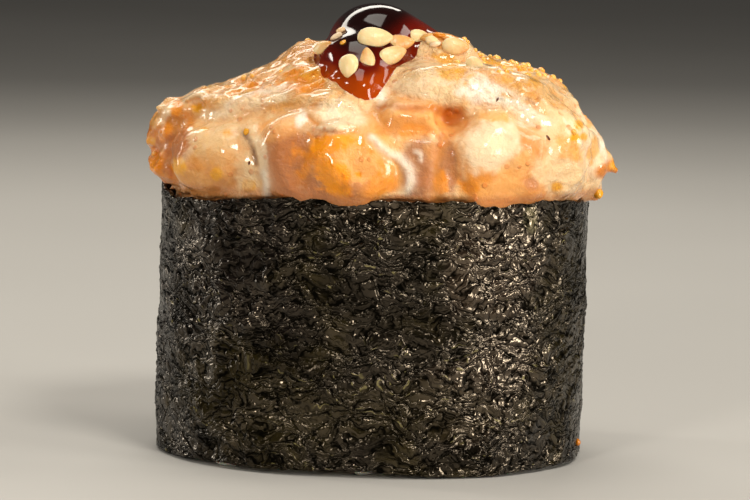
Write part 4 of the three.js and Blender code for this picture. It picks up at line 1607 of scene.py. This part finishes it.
@dataclass
class Roe:
    """Fish roe in the sauce, thick on the right of the crown and scarce elsewhere."""

    radius: float = 0.32
    density: float = 3.4e6
    gap: float = 0.62
    clusters: Ripple = Ripple(1.0, 90, 2.6)

    def scatter(self) -> Grower:
        """Geometry Nodes that sow beads where the skin's roe attribute is high."""
        g = Grower("roe_scatter", Radius=("Float", self.radius * MM),
                   Density=("Float", self.density), Gap=("Float", self.gap * MM))
        inputs = {"Mesh": g.given["Geometry"], "Distance Min": g.given["Gap"],
                  "Density Max": g.given["Density"], "Density Factor": g.named("roe", "FLOAT"),
                  "Seed": 5}
        sown = g.add("GeometryNodeDistributePointsOnFaces", inputs, distribute_method="POISSON")
        bead = g.add("GeometryNodeMeshIcoSphere", {"Radius": 1.0, "Subdivisions": 2}).outputs[0]
        size = g.math("MULTIPLY", g.spread(0.72, 1.15, 3), g.given["Radius"])
        g.end(g.laid(sown.outputs["Points"], bead, sown.outputs["Rotation"], size))
        return g

    def build(self, skin: bpy.types.Object, material: bpy.types.Material) -> bpy.types.Object:
        """Sows the roe on the topping's skin."""
        points = vectors_of(skin, "co") / MM
        x, y, z = points.T
        clusters = 0.5 + self.clusters(points)
        right = smoothstep(7, 11, x) * smoothstep(38.0, 40.2, z) * clusters
        clear = smoothstep(6.2, 7.5, np.hypot(x + 0.5, (y + 3.5) * 0.7))
        some = smoothstep(29, 31, z) * 0.003 + 0.008 * smoothstep(38, 40, z)
        soil = skin.copy()
        soil.data = skin.data.copy()
        bpy.context.scene.collection.objects.link(soil)
        store(soil, "roe", np.clip((right * 0.5 + some) * clear, 0, 1))
        return finished(self.scatter().grow("roe_beads", soil, Material=material))


# ---------------------------------------------------------------- finishes


@dataclass(frozen=True)
class NoriFinish:
    """Damp roasted seaweed: glossy wrinkles, with painted shade in the creases between and pale veins
    that are partly paler flecks and partly painted glints.
    """

    crease_shade: Colour = srgb(6, 5, 3)
    vein_glint: Colour = srgb(150, 140, 92)

    def make(self) -> bpy.types.Material:
        """Builds the material."""
        look = Surface("nori", Specular_Tint=(1.0, 0.82, 0.62, 1.0))
        g = look.graph
        sheet = look.read("sheet", "Vector")
        bent = g.warped(sheet, 0.3, 3.0, (4.6, 4.0, 0.0))
        bent = g.vector("MULTIPLY", bent, (0.42, 0.85, 0.0))
        fold = g.ridge(g.noise(bent, 0.95, 2.0, 0.55, 0.5))
        fine = g.ridge(g.noise(bent, 1.9, 2.0, 0.55, 0.6))
        swell = g.noise(bent, 0.5, 2.0, 0.5, 0.4)
        # Painted shade: the creases take a near-black colour, and the same mask lowers their gloss.
        crease_shade = g.math("MULTIPLY", g.between(fold, 0.0, 0.12), g.between(fine, 0.0, 0.11, 0.36))
        colour = g.mix(crease_shade, self.crease_shade, look.read("tint", "Color"))
        lively = g.between(g.noise(sheet, 0.16, 2.0), 0.42, 0.6)
        # Pale veins: partly the sheet's paler flecks, partly painted glints.
        vein_glint = g.math("MULTIPLY", g.between(fine, 0.34, 0.5), lively)
        look.feed("Base Color", g.mix(g.math("MULTIPLY", vein_glint, 0.6), colour, self.vein_glint))
        look.feed("Specular IOR Level", g.math("MULTIPLY", crease_shade, look.read("gloss")))
        look.feed("Roughness", g.between(g.noise(sheet, 0.5, 3.0), 0.35, 0.65, 0.12, 0.22))
        height = g.math("MULTIPLY_ADD", g.math("MINIMUM", fold, 0.5), 0.34,
                        g.math("MULTIPLY", g.math("MINIMUM", fine, 0.4), 0.14))
        height = g.math("MULTIPLY_ADD", swell, 0.8, height)
        steep = g.math("MULTIPLY", g.math("MULTIPLY_ADD", lively, 0.5, 0.75),
                       g.between(look.read("gloss"), 0.55, 1.0, 1.1, 0.85))
        look.bump(g.math("MULTIPLY", height, steep), MM)
        return look.material


@dataclass(frozen=True)
class ToppingFinish:
    """Creamy sauce and seafood, torched."""

    cream: Colour = srgb(252, 226, 180)
    roast: Colour = srgb(222, 132, 44)
    spot: Colour = srgb(226, 110, 18)

    def make(self) -> bpy.types.Material:
        """Builds the material."""
        look = Surface("baked_topping", Subsurface_Weight=0.3, Subsurface_Scale=0.0008,
                       Subsurface_Radius=(1.0, 0.8, 0.6), Specular_IOR_Level=0.25,
                       Coat_Roughness=0.05)
        g = look.graph
        tint = look.read("tint", "Color")
        crag = look.read("crag")
        swirl = g.noise(look.place, 520.0, 4.0, 0.62, 1.2)
        channels = g.add("ShaderNodeSeparateColor", {0: tint}).outputs
        creamy = g.between(g.math("DIVIDE", channels[2], channels[0]), 0.0, 0.3, 0.15, 1.0)
        flaky = g.math("MULTIPLY", g.math("MULTIPLY_ADD", crag, 0.7, 0.3), creamy)
        light = g.math("MULTIPLY", g.between(swirl, 0.5, 0.7, 0.0, 0.5), flaky)
        tint = g.mix(light, tint, self.cream)
        dark = g.math("MULTIPLY", g.between(swirl, 0.46, 0.3, 0.0, 0.45), flaky)
        tint = g.mix(dark, tint, self.roast)
        fibre = g.noise(g.vector("MULTIPLY", look.place, (0.7, 1.0, 1.9)), 640.0, 3.0, 0.6, 0.6)
        tint = g.mix(g.between(fibre, 0.5, 0.68, 0.0, 0.1), tint, self.roast)
        dots = g.cells(look.place, 950.0, "F1")
        chance = g.between(g.noise(look.place, 260.0, 1.0), 0.56, 0.66)
        dot = g.math("MULTIPLY", g.between(dots, 0.34, 0.2), chance)
        tint = g.mix(g.math("MULTIPLY", dot, 0.4), tint, self.spot)
        look.feed("Base Color", tint)
        look.feed("Roughness", g.between(look.read("wet"), 0.0, 1.0, 0.42, 0.16))
        look.feed("Coat Weight", g.between(look.read("wet"), 0.1, 0.5, 0.15, 0.7))
        lumps = g.math("MULTIPLY", g.noise(look.place, 900.0, 4.0, 0.6, 0.4),
                       g.math("MULTIPLY", crag, 1.5))
        film = g.noise(look.place, 850.0, 4.0, 0.62, 0.3)
        film = g.math("MULTIPLY", film, g.math("MULTIPLY_ADD", crag, 0.45, 0.2))
        height = g.math("ADD", film, lumps)
        height = g.math("MULTIPLY_ADD", fibre, 0.08, height)
        look.bump(g.math("MULTIPLY_ADD", dot, 0.15, height), 0.00075)
        return look.material


@dataclass(frozen=True)
class EelFinish:
    """Dark syrup: amber where it is thin, maroon, and nearly black where it is deep."""

    thin: Colour = srgb(162, 60, 4)
    middle: Colour = srgb(96, 14, 3)
    deep: Colour = srgb(24, 4, 3)

    def make(self) -> bpy.types.Material:
        """Builds the material."""
        look = Surface("eel_sauce", Roughness=0.08, IOR=1.42)
        g = look.graph
        depth = look.read("depth")
        colour = g.mix(g.between(depth, 0.1, 1.1), self.thin, self.middle)
        colour = g.mix(g.between(depth, 1.0, 2.8), colour, self.deep)
        look.feed("Base Color", colour)
        look.bump(g.noise(look.place, 260.0, 2.0), 0.00004)
        return look.material


@dataclass(frozen=True)
class SeedFinish:
    """Sesame hulls, from raw cream to toasted."""

    raw: Colour = srgb(238, 212, 158)
    toasted: Colour = srgb(216, 142, 56)

    def make(self) -> bpy.types.Material:
        """Builds the material."""
        look = Surface("sesame", Roughness=0.32, Subsurface_Weight=0.25, Subsurface_Scale=0.0008)
        g = look.graph
        browned = g.math("MULTIPLY_ADD", look.read("lengthwise"), 0.35, look.read("toast"))
        cloud = look.mottle(700.0, self.raw, self.toasted)
        toasted = g.mix(0.5, self.toasted, cloud["Colour"])
        look.feed("Base Color", g.mix(g.between(browned, 0.0, 1.0), self.raw, toasted))
        look.bump(g.math("ADD", g.noise(look.place, 2600.0, 2.0), cloud["Height"]), 0.00006)
        return look.material


@dataclass(frozen=True)
class RoeFinish:
    """Orange roe, glossy and a little see-through."""

    skin: Colour = srgb(244, 158, 36)
    pale: Colour = srgb(250, 200, 108)

    def make(self) -> bpy.types.Material:
        """Builds the material."""
        look = Surface("roe", Roughness=0.15, Subsurface_Weight=0.2, Subsurface_Scale=0.0004,
                       Coat_Weight=0.3)
        look.feed("Base Color", look.mottle(420.0, self.skin, self.pale)["Colour"])
        return look.material


@dataclass(frozen=True)
class CrumbFinish:
    """Glossy bits, each in the colour kept on its mesh."""

    def make(self) -> bpy.types.Material:
        """Builds the material."""
        look = Surface("crumb", Roughness=0.2)
        tint = look.read("tint", "Color")
        darker = look.graph.mix(0.2, tint, Tint.CREASE_SHADE_AND_PEPPER.value)
        cloud = look.mottle(1500.0, tint, darker)
        look.feed("Base Color", cloud["Colour"])
        look.bump(cloud["Height"], 0.0001)
        return look.material


@dataclass(frozen=True)
class RiceFinish:
    """Moist cooked rice."""

    grey: Colour = srgb(236, 228, 208)
    white: Colour = srgb(250, 247, 238)

    def make(self) -> bpy.types.Material:
        """Builds the material."""
        look = Surface("rice", Roughness=0.4, Subsurface_Weight=0.3, Subsurface_Scale=0.001)
        cloud = look.mottle(500.0, self.grey, self.white)
        look.feed("Base Color", cloud["Colour"])
        look.bump(look.graph.noise(look.place, 2200.0, 2.0), 0.0001)
        return look.material


# ---------------------------------------------------------------- studio


@dataclass(frozen=True)
class Lamp:
    """A rectangular soft light: its place, sides and watts."""

    name: str
    at: Point
    size: tuple[float, float]
    power: float


@dataclass
class Studio:
    """Floor, lights and camera."""

    lamps: tuple[Lamp, ...] = (
        Lamp("back", (-60, 280, 250), (330, 70), 0.5),
        Lamp("top", (-40, 10, 420), (190, 190), 0.45),
        Lamp("key", (120, -230, 330), (90, 90), 0.75),
        Lamp("rim", (-330, 110, 110), (30, 200), 0.35),
        Lamp("side", (370, -190, 80), (120, 150), 1.05),
        Lamp("fill", (-190, -380, 170), (70, 90), 0.62),
        Lamp("crown", (330, 40, 300), (140, 140), 0.4),
    )
    lamp_colour: tuple[float, float, float] = (1.0, 0.94, 0.84)
    lit: Point = (0.0, 0.0, 28.0)
    sky: Colour = (0.9, 0.86, 0.8, 1.0)
    sky_strength: float = 0.06
    sensor: float = 36.0
    target: Point = (0.17, 0.0, 20.8)
    roll: float = 1.5
    distance: float = 400.0
    picture_width: float = 78.1

    def floor(self) -> None:
        """A plain pale floor."""
        bpy.ops.mesh.primitive_plane_add(size=6, location=(0, 0, 0))
        plane = bpy.context.active_object
        plane.name = "floor"
        look = Surface("floor", Roughness=0.7)
        cloud = look.mottle(3.0, srgb(182, 180, 176), srgb(190, 188, 184))
        look.feed("Base Color", cloud["Colour"])
        plane.data.materials.append(look.material)

    def light(self, lamp: Lamp) -> None:
        """Adds one lamp, which faces the topping."""
        light = bpy.data.lights.new(lamp.name, "AREA")
        light.shape = "RECTANGLE"
        light.size, light.size_y = (side * MM for side in lamp.size)
        light.energy = lamp.power
        light.color = self.lamp_colour
        thing = placed(lamp.name, light)
        thing.location = Vector(lamp.at) * MM
        aim = Vector(self.lit) * MM - thing.location
        thing.rotation_euler = aim.to_track_quat("-Z", "Y").to_euler()

    def camera(self) -> None:
        """The camera, a long lens at a low angle with a slight roll."""
        lens = bpy.data.cameras.new("camera")
        lens.sensor_width = self.sensor
        lens.lens = self.sensor * self.distance / self.picture_width
        lens.clip_start, lens.clip_end = 0.01, 50
        thing = placed("camera", lens)
        away = Vector((0, -FRONT.level, FRONT.tilt)) * self.distance
        thing.location = (Vector(self.target) + away) * MM
        turn = (-away).to_track_quat("-Z", "Y").to_matrix().to_4x4()
        turn = turn @ Matrix.Rotation(math.radians(self.roll), 4, "Z")
        thing.rotation_euler = turn.to_euler()
        bpy.context.scene.camera = thing

    def build(self) -> None:
        """Sets up the whole studio."""
        self.floor()
        for lamp in self.lamps:
            self.light(lamp)
        world = bpy.data.worlds.new("studio")
        world.use_nodes = True
        world.node_tree.nodes["Background"].inputs[0].default_value = self.sky
        world.node_tree.nodes["Background"].inputs[1].default_value = self.sky_strength
        bpy.context.scene.world = world
        bpy.context.scene.view_settings.view_transform = "Standard"
        self.camera()


def main() -> None:
    """Builds and dresses every piece in order."""
    logging.basicConfig(level=logging.INFO, format="%(name)s: %(message)s")
    oval = Oval()
    band = NoriBand(oval).build(NoriFinish().make())
    rice = PressedRice(oval)
    rice_look = RiceFinish().make()
    rice.core(rice_look)
    rice.grains(rice_look)
    topping = Topping(oval)
    sauce_look = ToppingFinish().make()
    skin = topping.build(sauce_look)
    topping.plug(sauce_look)
    syrup = EelSauce().build(topping, EelFinish().make())
    ground = Ground(skin, syrup, band)
    SesameSeeds().build(ground, SeedFinish().make())
    Crumbs().build(ground, CrumbFinish().make())
    Roe().build(skin, RoeFinish().make())
    Studio().build()


if __name__ == "__main__":
    main()
